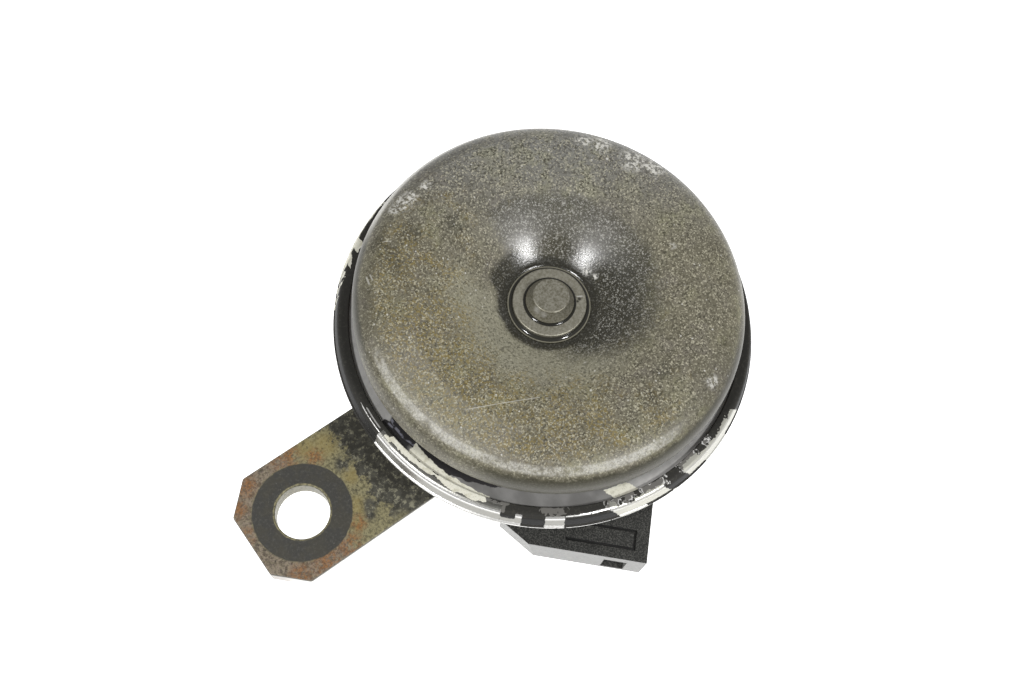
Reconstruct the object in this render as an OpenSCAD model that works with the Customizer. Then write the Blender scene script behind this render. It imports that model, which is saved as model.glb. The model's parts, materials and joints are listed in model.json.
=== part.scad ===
// Electric disc horn with a flat mounting stay and a moulded plug socket.
// The origin is the centre of the stay's bolt hole, on the stay's rear face.
// +X runs along the stay to the horn's axis, +Z runs out of the horn's front.

/* [Mounting stay] */
// Distance from the bolt hole to the horn's axis
stay_reach = 48.5; // [46:0.5:60]
// Width of the stay
stay_w = 21; // [20:0.5:22]
// Thickness of the stay
stay_t = 4; // [3:0.1:4.5]
// Length of the stay beyond the centre of the bolt hole
stay_end = 9.8; // [9:0.1:14]
// Size of the cut corners at the free end
stay_chamfer = 4.8; // [2:0.2:6]
// Radius of the bolt hole, a clearance hole for an M8 bolt
bolt_hole_r = 4.5; // [4.2:0.1:4.6]

/* [Stay bolt] */
// Radius of the bolt that holds the stay to the horn
bolt_r = 4; // [3:0.5:4]
// Width of the bolt's head across its flats
bolt_af = 13; // [12:0.5:14]
// Height of the bolt's head
bolt_head_h = 5.3; // [4:0.1:6]
// Length of the bolt's thread inside the core
bolt_grip = 8; // [6:0.5:8]
// Outer radius of the spring washer
lock_washer_r = 7.4; // [7:0.1:8]
// Thickness of the spring washer
lock_washer_t = 2; // [1.5:0.1:2.4]
// Width of the gap in the spring washer
lock_washer_slit = 1.2; // [0.8:0.1:2]

/* [Casing] */
// Width of the flange, from the casing's wall to the rim's largest radius
flange_w = 7.5; // [7:0.1:8]
// Height from the casing's rear face to its flange
casing_depth = 15.9; // [15.4:0.1:18]
// Thickness of the casing's sheet
casing_t = 1.05; // [0.8:0.05:1.2]
// Outer bend radius at the casing's rear edge
casing_bend = 3; // [2:0.5:3]
// Bend radius where the wall turns into the flange
flange_bend = 1.2; // [0.8:0.1:1.6]

/* [Clamped rim] */
// Largest radius of the clamp ring
rim_r = 34.5; // [32:0.1:37]
// Inward lean of the ring's wall, from its rear bead to its front
rim_lean = 0.9; // [0.7:0.05:0.9]
// Width from the rim's largest radius in to the clamped edges
rim_wall = 1.5; // [1.4:0.05:1.6]
// Width of the ring's front lip over the clamped edges
rim_lip = 1.1; // [0.8:0.1:1.4]
// Width of the fold behind the casing's flange
rim_fold = 1.5; // [1:0.1:2]
// Thickness of the clamp ring's sheet
ring_t = 0.6; // [0.5:0.05:0.8]
// Thickness of each gasket
gasket_t = 0.25; // [0.2:0.05:0.4]
// Width of the rear gasket
rear_gasket_w = 3.5; // [2.5:0.1:3.6]

/* [Diaphragm] */
// Thickness of the diaphragm
diaphragm_t = 0.35; // [0.3:0.05:0.5]
// Height of the diaphragm's round bead
bead_h = 0.6; // [0.3:0.1:1]
// Distance from the casing's wall in to the middle of the bead
bead_inset = 2; // [1.5:0.5:4]
// Width of the bead
bead_w = 5; // [3:0.5:6]

/* [Tone disc] */
// Distance from the rim's largest radius in to the tone disc's edge
dish_inset = 3.4; // [3:0.1:5]
// Height of the disc's crest over its middle
dish_rise = 5.8; // [4.5:0.1:7]
// Height of the rounded shoulder, from the crest down to the widest point
shoulder_h = 4.6; // [3:0.1:4.8]
// Width of the rounded shoulder
shoulder_w = 7; // [5:0.5:9]
// Fullness of the rounded shoulder, where 2 is an ellipse
shoulder_power = 2.4; // [2:0.1:3]
// Angle by which the edge turns in below the widest point
lip_turn = 12; // [5:1:20]
// Radius of the flat middle under the washer
hub_flat_r = 6.5; // [6.2:0.1:7.5]
// Width of the level crest between the hollow and the shoulder
crest_w = 2.1; // [1:0.1:4]
// Steepness of the hollow's foot, where 1 is an even wave and less is steeper
hollow_power = 0.7; // [0.6:0.05:1]
// Thickness of the disc's sheet
dish_t = 1; // [0.8:0.1:1.4]

/* [Armature and stud] */
// Radius of the armature
armature_r = 12; // [11.8:0.1:13]
// Thickness of the armature
armature_t = 4.2; // [3.6:0.1:4.6]
// Thickness of the washer between the armature and the diaphragm
armature_spacer_t = 0.8; // [0.6:0.1:1.2]
// Radius of the washer between the armature and the diaphragm
armature_spacer_r = 5.5; // [5:0.5:8]
// Radius of the stud
stud_r = 3; // [2.5:0.1:3]
// Radius of the stud's head where it meets the washer
stud_head_r = 3.95; // [3.6:0.05:4.4]
// Radius of the flat top of the stud's head
stud_top_r = 2.75; // [2.4:0.05:3.2]
// Height of the stud's head
stud_head_h = 2.4; // [1.8:0.1:3]
// Height of the collar between the diaphragm and the tone disc
collar_h = 3.95; // [3.5:0.05:6]
// Radius of the collar
collar_r = 6; // [5:0.5:6.5]
// Radius of the front washer
washer_r = 5.9; // [5.4:0.1:6.2]
// Thickness of the front washer
washer_t = 1; // [0.8:0.1:1.4]

/* [Electromagnet] */
// Radius of the core
core_r = 7; // [6.8:0.1:7.4]
// Radius of the core's neck where it is riveted into the casing
core_neck_r = 6; // [5.6:0.1:6.4]
// Air gap between the core and the armature at rest
air_gap = 0.8; // [0.7:0.05:1]
// Height of the core above the bobbin
core_reveal = 1.2; // [1.1:0.1:1.6]
// Distance from the casing's wall in to the bobbin's flanges
coil_inset = 10.2; // [10:0.1:11]
// Thickness of the bobbin's walls
bobbin_t = 0.8; // [0.6:0.1:1]
// Depth of the bobbin's flanges outside the winding
flange_margin = 1.3; // [1:0.1:2]
// Thickness of the wrap round the winding
wrap_t = 0.3; // [0.2:0.05:0.5]
// Radius of the clip that holds the bobbin on the core
clip_r = 9; // [8.4:0.1:9]
// Thickness of the clip
clip_t = 0.4; // [0.3:0.05:0.4]

/* [Contact breaker] */
// Direction of the breaker round the horn's axis, counted from +X
contact_turn = 15; // [5:1:20]
// Width of the stack of insulators
stack_w = 10.4; // [10:0.1:10.8]
// Depth of the stack, along the radius
stack_d = 5; // [4.8:0.1:5.2]
// Gap between the bobbin and the stack
stack_gap = 1.6; // [1.4:0.1:1.8]
// Thickness of the spring leaf
spring_t = 0.4; // [0.3:0.05:0.4]
// Width of the spring leaf
spring_w = 4.4; // [4:0.1:5]
// Distance from the spring's bend to its push button
push_arm = 7.6; // [7.2:0.1:7.8]
// Radius of the push button
button_r = 0.9; // [0.7:0.1:1.1]
// Height of the push button
button_h = 0.58; // [0.5:0.02:0.7]
// Distance from the spring's bend to the contact points
point_arm = 2.2; // [2:0.1:2.4]
// Radius of the contact points
point_r = 1.3; // [1:0.1:1.4]
// Height of each contact point
point_h = 0.45; // [0.35:0.05:0.6]
// Gap between the points, which clears the spring's swing
point_gap = 0.2; // [0.15:0.01:0.25]
// Thickness of the fixed arm
fixed_arm_t = 0.6; // [0.5:0.1:0.8]
// Thickness of the stack's cap plate
cap_plate_t = 0.8; // [0.6:0.1:1.2]
// Radius of the stack's rivets
stack_rivet_r = 1.1; // [0.9:0.1:1.2]
// Distance between the stack's two rivets
stack_rivet_span = 6.4; // [6:0.1:6.8]

/* [Adjusting screw] */
// Radius of the adjusting screw
screw_r = 2; // [1.8:0.1:2]
// Distance from the stack's inner edge back to the middle of the screw
screw_back = 0.5; // [0.2:0.1:0.6]
// Distance from the stack's side to the middle of the screw
screw_aside = 4.4; // [4.3:0.1:4.6]
// Radius of the threaded bush's neck
bush_r = 2.9; // [2.7:0.1:2.9]
// Radius of the bush's flange
bush_flange_r = 3.6; // [3.4:0.1:3.6]
// Thickness of the bush's flange
bush_flange_t = 1; // [0.8:0.1:1.4]
// Height of the bush inside the casing
bush_h = 3.2; // [2.5:0.1:4]
// Width of the lock nut across its flats
lock_nut_af = 7; // [6.5:0.5:8]
// Thickness of the lock nut
lock_nut_t = 2.2; // [1.8:0.1:2.6]
// Length of the screw beyond the lock nut
screw_reveal = 1.4; // [1.2:0.1:2]

/* [Plug socket] */
// Direction of the socket's mouth round the horn's axis, counted from +X
socket_turn = -45; // [-48:1:-45]
// Distance from the casing's wall out to the socket's outer side
socket_overhang = 6.35; // [6.2:0.05:7]
// Width of the socket
socket_w = 12.35; // [12.2:0.05:12.6]
// Height of the socket
socket_h = 8; // [7.8:0.1:9]
// Distance of the mouth from the middle of the casing, along the socket
socket_mouth = 23.5; // [22:0.5:26]
// Distance of the closed end from the middle, on the other side
socket_back = 1.5; // [1:0.1:1.5]
// Thickness of the socket's walls
socket_wall = 1.1; // [1:0.05:1.2]
// Depth of the space for the plug
cavity_depth = 12; // [11.5:0.5:14]
// Thickness of the gasket under the socket
foot_gasket_t = 0.4; // [0.3:0.1:0.6]
// Length of the cut corner at the closed end, along the socket's side
corner_cut = 5.75; // [5:0.05:6]
// Angle of the cut corner
corner_angle = 32; // [28:1:36]
// Lean of the cut corner
corner_lean = 5.7; // [0:0.1:8]
// Width of the latch window
window_w = 3.9; // [3:0.1:5]
// Distance from the mouth to the latch window
window_inset = 3; // [2.5:0.1:4]
// Width of the groove that frames the panel on the socket's face
groove_w = 0.45; // [0.3:0.05:0.6]
// Depth of that groove
groove_d = 0.35; // [0.2:0.05:0.5]

/* [Terminals] */
// Width of the terminal blades
blade_w = 2.8; // [2.4:0.1:3]
// Thickness of the terminal blades
blade_t = 0.8; // [0.6:0.1:0.8]
// Distance between the middles of the blades
blade_pitch = 5; // [4.6:0.1:5.2]
// Distance from the blades' tips to the socket's mouth
blade_recess = 6.6; // [6:0.1:7]
// Radius of the socket's rivets
socket_rivet_r = 1.2; // [1:0.1:1.3]
// Radius of the rivets' heads
rivet_head_r = 1.9; // [1.8:0.1:2]
// Height of the rivets' heads
rivet_head_h = 0.7; // [0.5:0.1:0.9]
// Thickness of the insulating washers inside the casing
insulator_t = 0.8; // [0.6:0.1:1.2]
// Width of the insulating washers beyond the rivets' heads
insulator_margin = 0.5; // [0.4:0.1:0.7]
// Gap between the insulating washers and the bobbin
insulator_gap = 0.4; // [0.3:0.1:0.8]
// Distance from the middle of the casing to the outer terminal's rivet, along the socket
outer_rivet_x = 3; // [2.5:0.25:3.5]
// Distance from the middle of the casing to the inner terminal's rivet, along the socket
inner_rivet_x = 9.5; // [9:0.25:10]

/* [Leads] */
// Radius of the leads inside the casing
lead_r = 0.45; // [0.35:0.05:0.5]
// Height of the lowest lead over the casing's floor
lead_level = 2.6; // [2.2:0.1:2.8]
// Distance between leads that cross
lead_gap = 0.65; // [0.4:0.05:0.8]
// Radius of the arc-suppression resistor
resistor_r = 1.8; // [1.5:0.1:2]
// Length of the resistor
resistor_len = 9; // [8:0.5:10]
// Direction of the resistor round the horn's axis, counted from +X
resistor_turn = -20; // [-24:1:-18]

/* [Clearances] */
// Radial clearance of pieces that are riveted or screwed together
fit = 0.05; // [0.02:0.01:0.08]
// Radial clearance of pieces that turn on each other
running = 0.08; // [0.04:0.01:0.1]
// Gap between the push button and the armature
button_gap = 0.02; // [0.01:0.01:0.04]

/* [Hidden] */
$fn = 96;
// Small overlap that lets cuts pass through a face
cut = 1;
// Slit between a fixed edge and the spring leaf that swings beside it
bend_slit = 0.15;

// Radii that follow from the rim's
casing_r = rim_r - flange_w;
rim_front_r = rim_r - rim_lean;
rim_inner_r = rim_r - rim_wall;
rim_lip_r = rim_inner_r - rim_lip;
rim_fold_r = rim_inner_r - rim_fold;
rear_gasket_r = rim_inner_r - rear_gasket_w;
bead_r = casing_r - bead_inset;
dish_r = rim_r - dish_inset;
crest_r = dish_r - shoulder_w;
crater_r = crest_r - crest_w;
bobbin_r = casing_r - coil_inset;

// Heights of the stack from the stay to the front lip
z_rear = stay_t;
z_floor = z_rear + casing_t;
z_flange = z_rear + casing_depth;
z_rim_low = z_flange - ring_t;
z_gasket = z_flange + casing_t;
z_diaphragm = z_gasket + gasket_t;
z_front_gasket = z_diaphragm + diaphragm_t;
z_lip = z_front_gasket + gasket_t;
z_rim_top = z_lip + ring_t;

// Heights of what hangs on the diaphragm
z_armature = z_diaphragm - armature_spacer_t - armature_t;
z_hub_back = z_front_gasket + collar_h;
z_hub = z_hub_back + dish_t;
z_washer_top = z_hub + washer_t;
z_crest = z_hub + dish_rise;
z_equator = z_crest - shoulder_h;

// Heights of the electromagnet
z_core_top = z_armature - air_gap;
z_bobbin_top = z_core_top - core_reveal;
winding_r = bobbin_r - flange_margin - wrap_t;

// Heights and places of the contact breaker
stack_x = bobbin_r + stack_gap;
z_spring = z_armature - button_gap - button_h - spring_t;
z_points = z_spring + spring_t;
z_fixed_arm = z_points + 2 * point_h + point_gap;
z_cap_plate = z_fixed_arm + fixed_arm_t;
z_stack_top = z_cap_plate + cap_plate_t;
bend_x = stack_x - bend_slit;
rivet_x = stack_x + stack_d / 2;
screw_x = stack_x - screw_back;
screw_y = stack_w / 2 + screw_aside;

// Places of the plug socket, in its own turned frame
socket_side = casing_r + socket_overhang;
socket_inner = socket_side - socket_w;
z_socket_top = z_rear - foot_gasket_t;
z_socket_mid = z_socket_top - socket_h / 2;
z_socket_low = z_socket_top - socket_h;
cavity_end = socket_mouth - cavity_depth;
cavity_w = socket_w - 2 * socket_wall;
cavity_mid = -socket_side + socket_w / 2;
blade_tip = socket_mouth - blade_recess;
z_blade = z_socket_mid - blade_t / 2;
outer_blade_y = cavity_mid - blade_pitch / 2;
inner_blade_y = cavity_mid + blade_pitch / 2;
insulator_r = rivet_head_r + insulator_margin;
outer_rivet = beside_bobbin(outer_rivet_x);
inner_rivet = beside_bobbin(inner_rivet_x);
foot_margin = 3;
foot_h = z_socket_top - (z_blade + blade_t);

// Places its children on the horn's axis.
module on_axis(z = 0) {
    translate([stay_reach, 0, z]) children();
}

// Places its children in the contact breaker's turned frame.
module at_breaker(x = 0, y = 0, z = 0) {
    on_axis() rotate(contact_turn) translate([x, y, z]) children();
}

// Places its children in the socket's turned frame.
module at_socket(x = 0, y = 0, z = 0) {
    on_axis() rotate(socket_turn) translate([x, y, z]) children();
}

// Place of a socket rivet whose washer just clears the bobbin.
function beside_bobbin(x) =
    [x, -sqrt(pow(bobbin_r + insulator_gap + insulator_r, 2) - x * x)];

// Flat ring from the height of its frame upwards.
module ring(outer_r, inner_r, h) {
    difference() {
        cylinder(r = outer_r, h = h);
        translate([0, 0, -cut]) cylinder(r = inner_r, h = h + 2 * cut);
    }
}

// Block given by its two corners.
module block(low, high) {
    translate(low) cube(high - low);
}

// Points on an arc of an ellipse in the r-z plane.
function arc(centre, a, b, from, to, steps) =
    [for (i = [0:steps]) let (t = from + (to - from) * i / steps)
        [centre[0] + a * cos(t), centre[1] + b * sin(t)]];

function reversed(list) = [for (i = [len(list) - 1:-1:0]) list[i]];

// Tube swept along a path as one closed solid with flat ends.
// The rings lean on a radius vector, so no stretch of the path may run along one.
function unit(v) = v / norm(v);
function along(path, i) =
    unit(path[min(i + 1, len(path) - 1)] - path[max(i - 1, 0)]);
function ring_points(path, i, r, sides) =
    let (t = along(path, i),
         radial = [path[i][0], path[i][1], 0],
         side = unit(cross(t, radial)),
         up = cross(side, t))
    [for (k = [0:sides - 1])
        path[i] + r * (cos(360 * k / sides) * side + sin(360 * k / sides) * up)];

module tube(path, r, sides = 8) {
    rings = len(path);
    points = [for (i = [0:rings - 1]) each ring_points(path, i, r, sides)];
    walls = [for (i = [0:rings - 2], k = [0:sides - 1])
        let (n = (k + 1) % sides)
        [i * sides + k, i * sides + n, (i + 1) * sides + n, (i + 1) * sides + k]];
    start = [for (k = [sides - 1:-1:0]) k];
    finish = [for (k = [0:sides - 1]) (rings - 1) * sides + k];
    polyhedron(points = points, faces = concat([start], walls, [finish]));
}

// Path that climbs, turns round the horn's axis and climbs again.
// It is given by two points in cylinder coordinates: radius, angle, height.
function lead_path(from, to, level, steps = 10) = concat(
    [polar(from[0], from[1], from[2])],
    [for (i = [0:steps]) let (t = i / steps, s = t * t * (3 - 2 * t))
        polar(from[0] + (to[0] - from[0]) * s, from[1] + (to[1] - from[1]) * s,
              level)],
    [polar(to[0], to[1], to[2])]);
function polar(r, angle, z) = [r * cos(angle), r * sin(angle), z];

// Outline of the stay, with cut corners at the free end.
module stay_outline() {
    polygon([
        [stay_chamfer - stay_end, -stay_w / 2],
        [stay_reach, -stay_w / 2],
        [stay_reach, stay_w / 2],
        [stay_chamfer - stay_end, stay_w / 2],
        [-stay_end, stay_w / 2 - stay_chamfer],
        [-stay_end, stay_chamfer - stay_w / 2]
    ]);
    translate([stay_reach, 0]) circle(r = stay_w / 2);
}

module stay() {
    color("darkkhaki") difference() {
        linear_extrude(stay_t) stay_outline();
        translate([0, 0, -cut]) cylinder(r = bolt_hole_r, h = stay_t + 2 * cut);
        on_axis(-cut) cylinder(r = bolt_r + running, h = stay_t + 2 * cut);
    }
}

// Hexagon bolt that holds the stay against the casing and screws into the core.
module stay_bolt() {
    head_low = -lock_washer_t - bolt_head_h;
    color("darkkhaki") on_axis() {
        translate([0, 0, head_low])
            cylinder(r = bolt_af / 2 / cos(30), h = bolt_head_h, $fn = 6);
        translate([0, 0, -lock_washer_t - cut / 2])
            cylinder(r = bolt_r, h = lock_washer_t + z_rear + bolt_grip + cut / 2);
    }
}

module spring_washer() {
    color("silver") on_axis(-lock_washer_t) difference() {
        ring(lock_washer_r, bolt_r + fit, lock_washer_t);
        translate([0, -lock_washer_slit / 2, -cut])
            cube([lock_washer_r + cut, lock_washer_slit, lock_washer_t + 2 * cut]);
    }
}

// Drawn cup with a rounded rear edge and a flat flange.
module casing_section() {
    outer_bend = casing_r - casing_bend;
    inner_bend = casing_bend - casing_t;
    flange_inner = flange_bend + casing_t;
    polygon(concat(
        [[core_neck_r + fit, z_rear]],
        arc([outer_bend, z_rear + casing_bend], casing_bend, casing_bend, -90, 0, 8),
        arc([casing_r + flange_bend, z_flange - flange_bend],
            flange_bend, flange_bend, 180, 90, 6),
        [[rim_inner_r - fit, z_flange], [rim_inner_r - fit, z_gasket]],
        arc([casing_r + flange_bend, z_flange - flange_bend],
            flange_inner, flange_inner, 90, 180, 6),
        arc([outer_bend, z_rear + casing_bend], inner_bend, inner_bend, 0, -90, 8),
        [[core_neck_r + fit, z_floor]]
    ));
}

module rear_casing() {
    color("dimgray") difference() {
        on_axis() rotate_extrude() casing_section();
        for (side = [-1, 1])
            at_breaker(rivet_x, side * stack_rivet_span / 2, z_rear - cut)
                cylinder(r = stack_rivet_r + fit, h = casing_t + 2 * cut);
        at_breaker(screw_x, screw_y, z_rear - cut)
            cylinder(r = bush_r + fit, h = casing_t + 2 * cut);
        for (place = [inner_rivet, outer_rivet])
            at_socket(place[0], place[1], z_rear - cut)
                cylinder(r = sleeve_r() + fit, h = casing_t + 2 * cut);
    }
}

// Radius of the insulating sleeve round a socket rivet.
function sleeve_r() = socket_rivet_r + 0.6;

// Folded ring that clamps the casing, the gaskets and the diaphragm.
// Its wall flares out to a bead along the lower fold.
module clamp_ring() {
    wall_low = z_rim_low + 0.9;
    bead_top = z_rim_low + 0.55;
    groove_r = rim_r - 0.5;
    color("black") on_axis() rotate_extrude() polygon([
        [rim_lip_r, z_rim_top],
        [rim_lip_r, z_lip],
        [rim_inner_r, z_lip],
        [rim_inner_r, z_flange],
        [rim_fold_r, z_flange],
        [rim_fold_r, z_rim_low],
        [rim_r - 0.2, z_rim_low],
        [rim_r, z_rim_low + 0.15],
        [rim_r, bead_top - 0.1],
        [groove_r, bead_top],
        [rim_r - 0.3, wall_low],
        [rim_front_r, z_rim_top - 0.2],
        [rim_front_r - 0.2, z_rim_top]
    ]);
}

module rear_gasket() {
    color("saddlebrown") on_axis(z_gasket)
        ring(rim_inner_r - fit, rear_gasket_r, gasket_t);
}

module front_gasket() {
    color("saddlebrown") on_axis(z_front_gasket)
        ring(rim_inner_r - fit, rim_lip_r, gasket_t);
}

// Height of the diaphragm's bead at a radius.
function bead(r) = abs(r - bead_r) >= bead_w / 2 ? 0
    : bead_h * (1 + cos(360 * (r - bead_r) / bead_w)) / 2;

module diaphragm() {
    steps = 12;
    rs = concat([stud_r + fit],
                [for (i = [0:steps]) bead_r - bead_w / 2 + bead_w * i / steps],
                [rim_inner_r - fit]);
    low = [for (r = rs) [r, z_diaphragm + bead(r)]];
    high = [for (r = rs) [r, z_front_gasket + bead(r)]];
    color("dimgray") on_axis() rotate_extrude() polygon(concat(low, reversed(high)));
}

// Height of the disc's front over its flat middle at a radius.
function hollow(r) =
    let (t = min(1, max(0, (r - hub_flat_r) / (crater_r - hub_flat_r))))
    dish_rise * (1 - cos(180 * pow(t, hollow_power))) / 2;

// Points on the disc's shoulder in the r-z plane, from its crest to its turned-in edge.
function shoulder(w, h, steps) =
    let (bend = 2 / shoulder_power)
    concat([for (i = [0:steps - 1]) let (t = 90 - 90 * i / steps)
               [crest_r + w * pow(cos(t), bend), z_equator + h * pow(sin(t), bend)]],
           arc([crest_r, z_equator], w, h, 0, -lip_turn, 2));

// Pressed disc with a sunken middle, a round crest and a turned-in edge.
module tone_disc() {
    steps = 16;
    rs = [for (i = [0:steps]) hub_flat_r + (crater_r - hub_flat_r) * i / steps];
    front = concat([[stud_r + fit, z_hub]], [for (r = rs) [r, z_hub + hollow(r)]],
        shoulder(shoulder_w, shoulder_h, steps));
    back = concat([[stud_r + fit, z_hub_back]],
        [for (r = rs) [r, z_hub_back + hollow(r)]],
        shoulder(shoulder_w - dish_t, shoulder_h - dish_t, steps));
    color("darkolivegreen") on_axis() rotate_extrude()
        polygon(concat(front, reversed(back)));
}

module front_washer() {
    edge = 0.2;
    color("rosybrown") on_axis() rotate_extrude() polygon([
        [stud_r + fit, z_hub],
        [washer_r, z_hub],
        [washer_r, z_washer_top - edge],
        [washer_r - edge, z_washer_top],
        [stud_r + fit, z_washer_top]
    ]);
}

// Stud that carries the armature and the disc, with a tapered head.
module centre_stud() {
    edge = 0.25;
    z_top = z_washer_top + stud_head_h;
    color("rosybrown") on_axis() rotate_extrude() polygon([
        [0, z_armature],
        [stud_r, z_armature],
        [stud_r, z_washer_top],
        [stud_head_r, z_washer_top],
        [stud_top_r + edge, z_top - edge],
        [stud_top_r, z_top],
        [0, z_top]
    ]);
}

module disc_collar() {
    color("silver") on_axis(z_front_gasket) ring(collar_r, stud_r + fit, collar_h);
}

module armature_spacer() {
    color("silver") on_axis(z_armature + armature_t)
        ring(armature_spacer_r, stud_r + fit, armature_spacer_t);
}

module armature() {
    edge = 0.5;
    z_top = z_armature + armature_t;
    color("gray") on_axis() rotate_extrude() polygon([
        [stud_r + fit, z_armature],
        [armature_r, z_armature],
        [armature_r, z_top - edge],
        [armature_r - edge, z_top],
        [stud_r + fit, z_top]
    ]);
}

// Core with a shoulder, riveted into the casing and tapped for the stay's bolt.
module pole_core() {
    tap_end = 1;
    color("gray") on_axis() difference() {
        union() {
            translate([0, 0, z_rear]) cylinder(r = core_neck_r, h = casing_t);
            translate([0, 0, z_floor]) cylinder(r = core_r, h = z_core_top - z_floor);
        }
        translate([0, 0, z_rear - cut])
            cylinder(r = bolt_r + fit, h = bolt_grip + tap_end + cut);
    }
}

module coil_bobbin() {
    hub_r = core_r + fit + bobbin_t;
    color("ivory") on_axis() rotate_extrude() polygon([
        [core_r + fit, z_floor],
        [bobbin_r, z_floor],
        [bobbin_r, z_floor + bobbin_t],
        [hub_r, z_floor + bobbin_t],
        [hub_r, z_bobbin_top - bobbin_t],
        [bobbin_r, z_bobbin_top - bobbin_t],
        [bobbin_r, z_bobbin_top],
        [core_r + fit, z_bobbin_top]
    ]);
}

module coil_winding() {
    hub_r = core_r + fit + bobbin_t;
    color("chocolate") on_axis(z_floor + bobbin_t)
        ring(winding_r, hub_r, z_bobbin_top - z_floor - 2 * bobbin_t);
}

module coil_wrap() {
    color("goldenrod") on_axis(z_floor + bobbin_t)
        ring(winding_r + wrap_t, winding_r, z_bobbin_top - z_floor - 2 * bobbin_t);
}

// Push-on clip with teeth that bite on the core.
module coil_clip() {
    teeth = 6;
    slot_w = 1;
    slot_end = (core_r + clip_r) / 2;
    color("silver") on_axis(z_bobbin_top) difference() {
        ring(clip_r, core_r + fit, clip_t);
        for (i = [0:teeth - 1]) rotate(360 * i / teeth)
            translate([core_r - cut, -slot_w / 2, -cut])
                cube([slot_end - core_r + cut, slot_w, clip_t + 2 * cut]);
    }
}

// One layer of the contact stack, drilled for its two rivets.
module stack_layer(z, h) {
    difference() {
        at_breaker() block([stack_x, -stack_w / 2, z],
                           [stack_x + stack_d, stack_w / 2, z + h]);
        stack_holes(z, h);
    }
}

module stack_holes(z, h) {
    for (side = [-1, 1])
        at_breaker(rivet_x, side * stack_rivet_span / 2, z - cut)
            cylinder(r = stack_rivet_r + fit, h = h + 2 * cut);
}

module contact_base() {
    color("sienna") stack_layer(z_floor, z_spring - z_floor);
}

module spring_root() {
    color("goldenrod") stack_layer(z_spring, spring_t);
}

module contact_insulator() {
    color("sienna") stack_layer(z_points, z_fixed_arm - z_points);
}

module stack_cap_plate() {
    color("silver") stack_layer(z_cap_plate, cap_plate_t);
}

// Free part of the spring leaf, with a round edge on the line that it bends about.
module contact_spring() {
    edge_r = spring_t / 2;
    tip = 1.2;
    color("goldenrod") at_breaker() {
        block([bend_x - push_arm - tip, -spring_w / 2, z_spring],
              [bend_x - edge_r, spring_w / 2, z_points]);
        translate([bend_x - edge_r, spring_w / 2, z_spring + edge_r])
            rotate([90, 0, 0]) cylinder(r = edge_r, h = spring_w);
    }
}

// Button with a domed top that the armature pushes.
module push_button() {
    dome_r = 1.5;
    dome_h = dome_r - sqrt(dome_r * dome_r - button_r * button_r);
    color("sienna") at_breaker(bend_x - push_arm, 0, 0) rotate_extrude()
        polygon(concat(
            [[0, z_points], [button_r, z_points]],
            arc([0, z_points + button_h - dome_r], dome_r, dome_r,
                asin((dome_r - dome_h) / dome_r), 90, 8)
        ));
}

module moving_point() {
    color("silver") at_breaker(bend_x - point_arm, 0, z_points)
        cylinder(r = point_r, h = point_h);
}

module fixed_point() {
    color("silver") at_breaker(bend_x - point_arm, 0, z_fixed_arm - point_h)
        cylinder(r = point_r, h = point_h);
}

// Stiff arm with a side wing that the adjusting screw bears on.
module fixed_contact_arm() {
    arm_end = bend_x - point_arm - point_r - 0.4;
    wing_half = 1.7;
    wing_end = screw_y + wing_half;
    color("goldenrod") difference() {
        at_breaker() union() {
            block([arm_end, -spring_w / 2, z_fixed_arm],
                  [stack_x + stack_d, spring_w / 2, z_cap_plate]);
            block([stack_x, -stack_w / 2, z_fixed_arm],
                  [stack_x + stack_d, stack_w / 2, z_cap_plate]);
            block([screw_x - wing_half, spring_w / 2 - cut, z_fixed_arm],
                  [screw_x + wing_half, wing_end, z_cap_plate]);
        }
        stack_holes(z_fixed_arm, fixed_arm_t);
    }
}

module stack_rivets() {
    head_r = stack_rivet_r + 0.9;
    head_h = 0.7;
    color("silver") for (side = [-1, 1])
        at_breaker(rivet_x, side * stack_rivet_span / 2, 0) {
            translate([0, 0, z_rear - head_h]) cylinder(r = head_r, h = head_h);
            translate([0, 0, z_rear - head_h / 2])
                cylinder(r = stack_rivet_r, h = z_stack_top - z_rear + head_h);
            translate([0, 0, z_stack_top]) cylinder(r = head_r, h = head_h);
        }
}

// Threaded bush, riveted into the casing's floor.
module adjuster_bush() {
    color("silver") at_breaker(screw_x, screw_y, 0) difference() {
        union() {
            translate([0, 0, z_rear - bush_flange_t])
                cylinder(r = bush_flange_r, h = bush_flange_t);
            translate([0, 0, z_rear - cut / 2])
                cylinder(r = bush_r, h = casing_t + bush_h + cut / 2);
        }
        translate([0, 0, z_rear - bush_flange_t - cut])
            cylinder(r = screw_r + running, h = bush_flange_t + casing_t + bush_h + 2 * cut);
    }
}

// Slotted screw that sets the height of the fixed contact.
module adjusting_screw() {
    slot_w = 0.8;
    slot_d = 1;
    tip_gap = 0.1;
    z_low = z_rear - bush_flange_t - lock_nut_t - screw_reveal;
    color("gold") at_breaker(screw_x, screw_y, 0) difference() {
        translate([0, 0, z_low])
            cylinder(r = screw_r, h = z_fixed_arm - tip_gap - z_low);
        translate([-screw_r - cut, -slot_w / 2, z_low - cut])
            cube([2 * (screw_r + cut), slot_w, slot_d + cut]);
    }
}

module adjuster_lock_nut() {
    color("silver") at_breaker(screw_x, screw_y, z_rear - bush_flange_t - lock_nut_t)
        difference() {
            cylinder(r = lock_nut_af / 2 / cos(30), h = lock_nut_t, $fn = 6);
            translate([0, 0, -cut])
                cylinder(r = screw_r + running, h = lock_nut_t + 2 * cut);
        }
}

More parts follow.
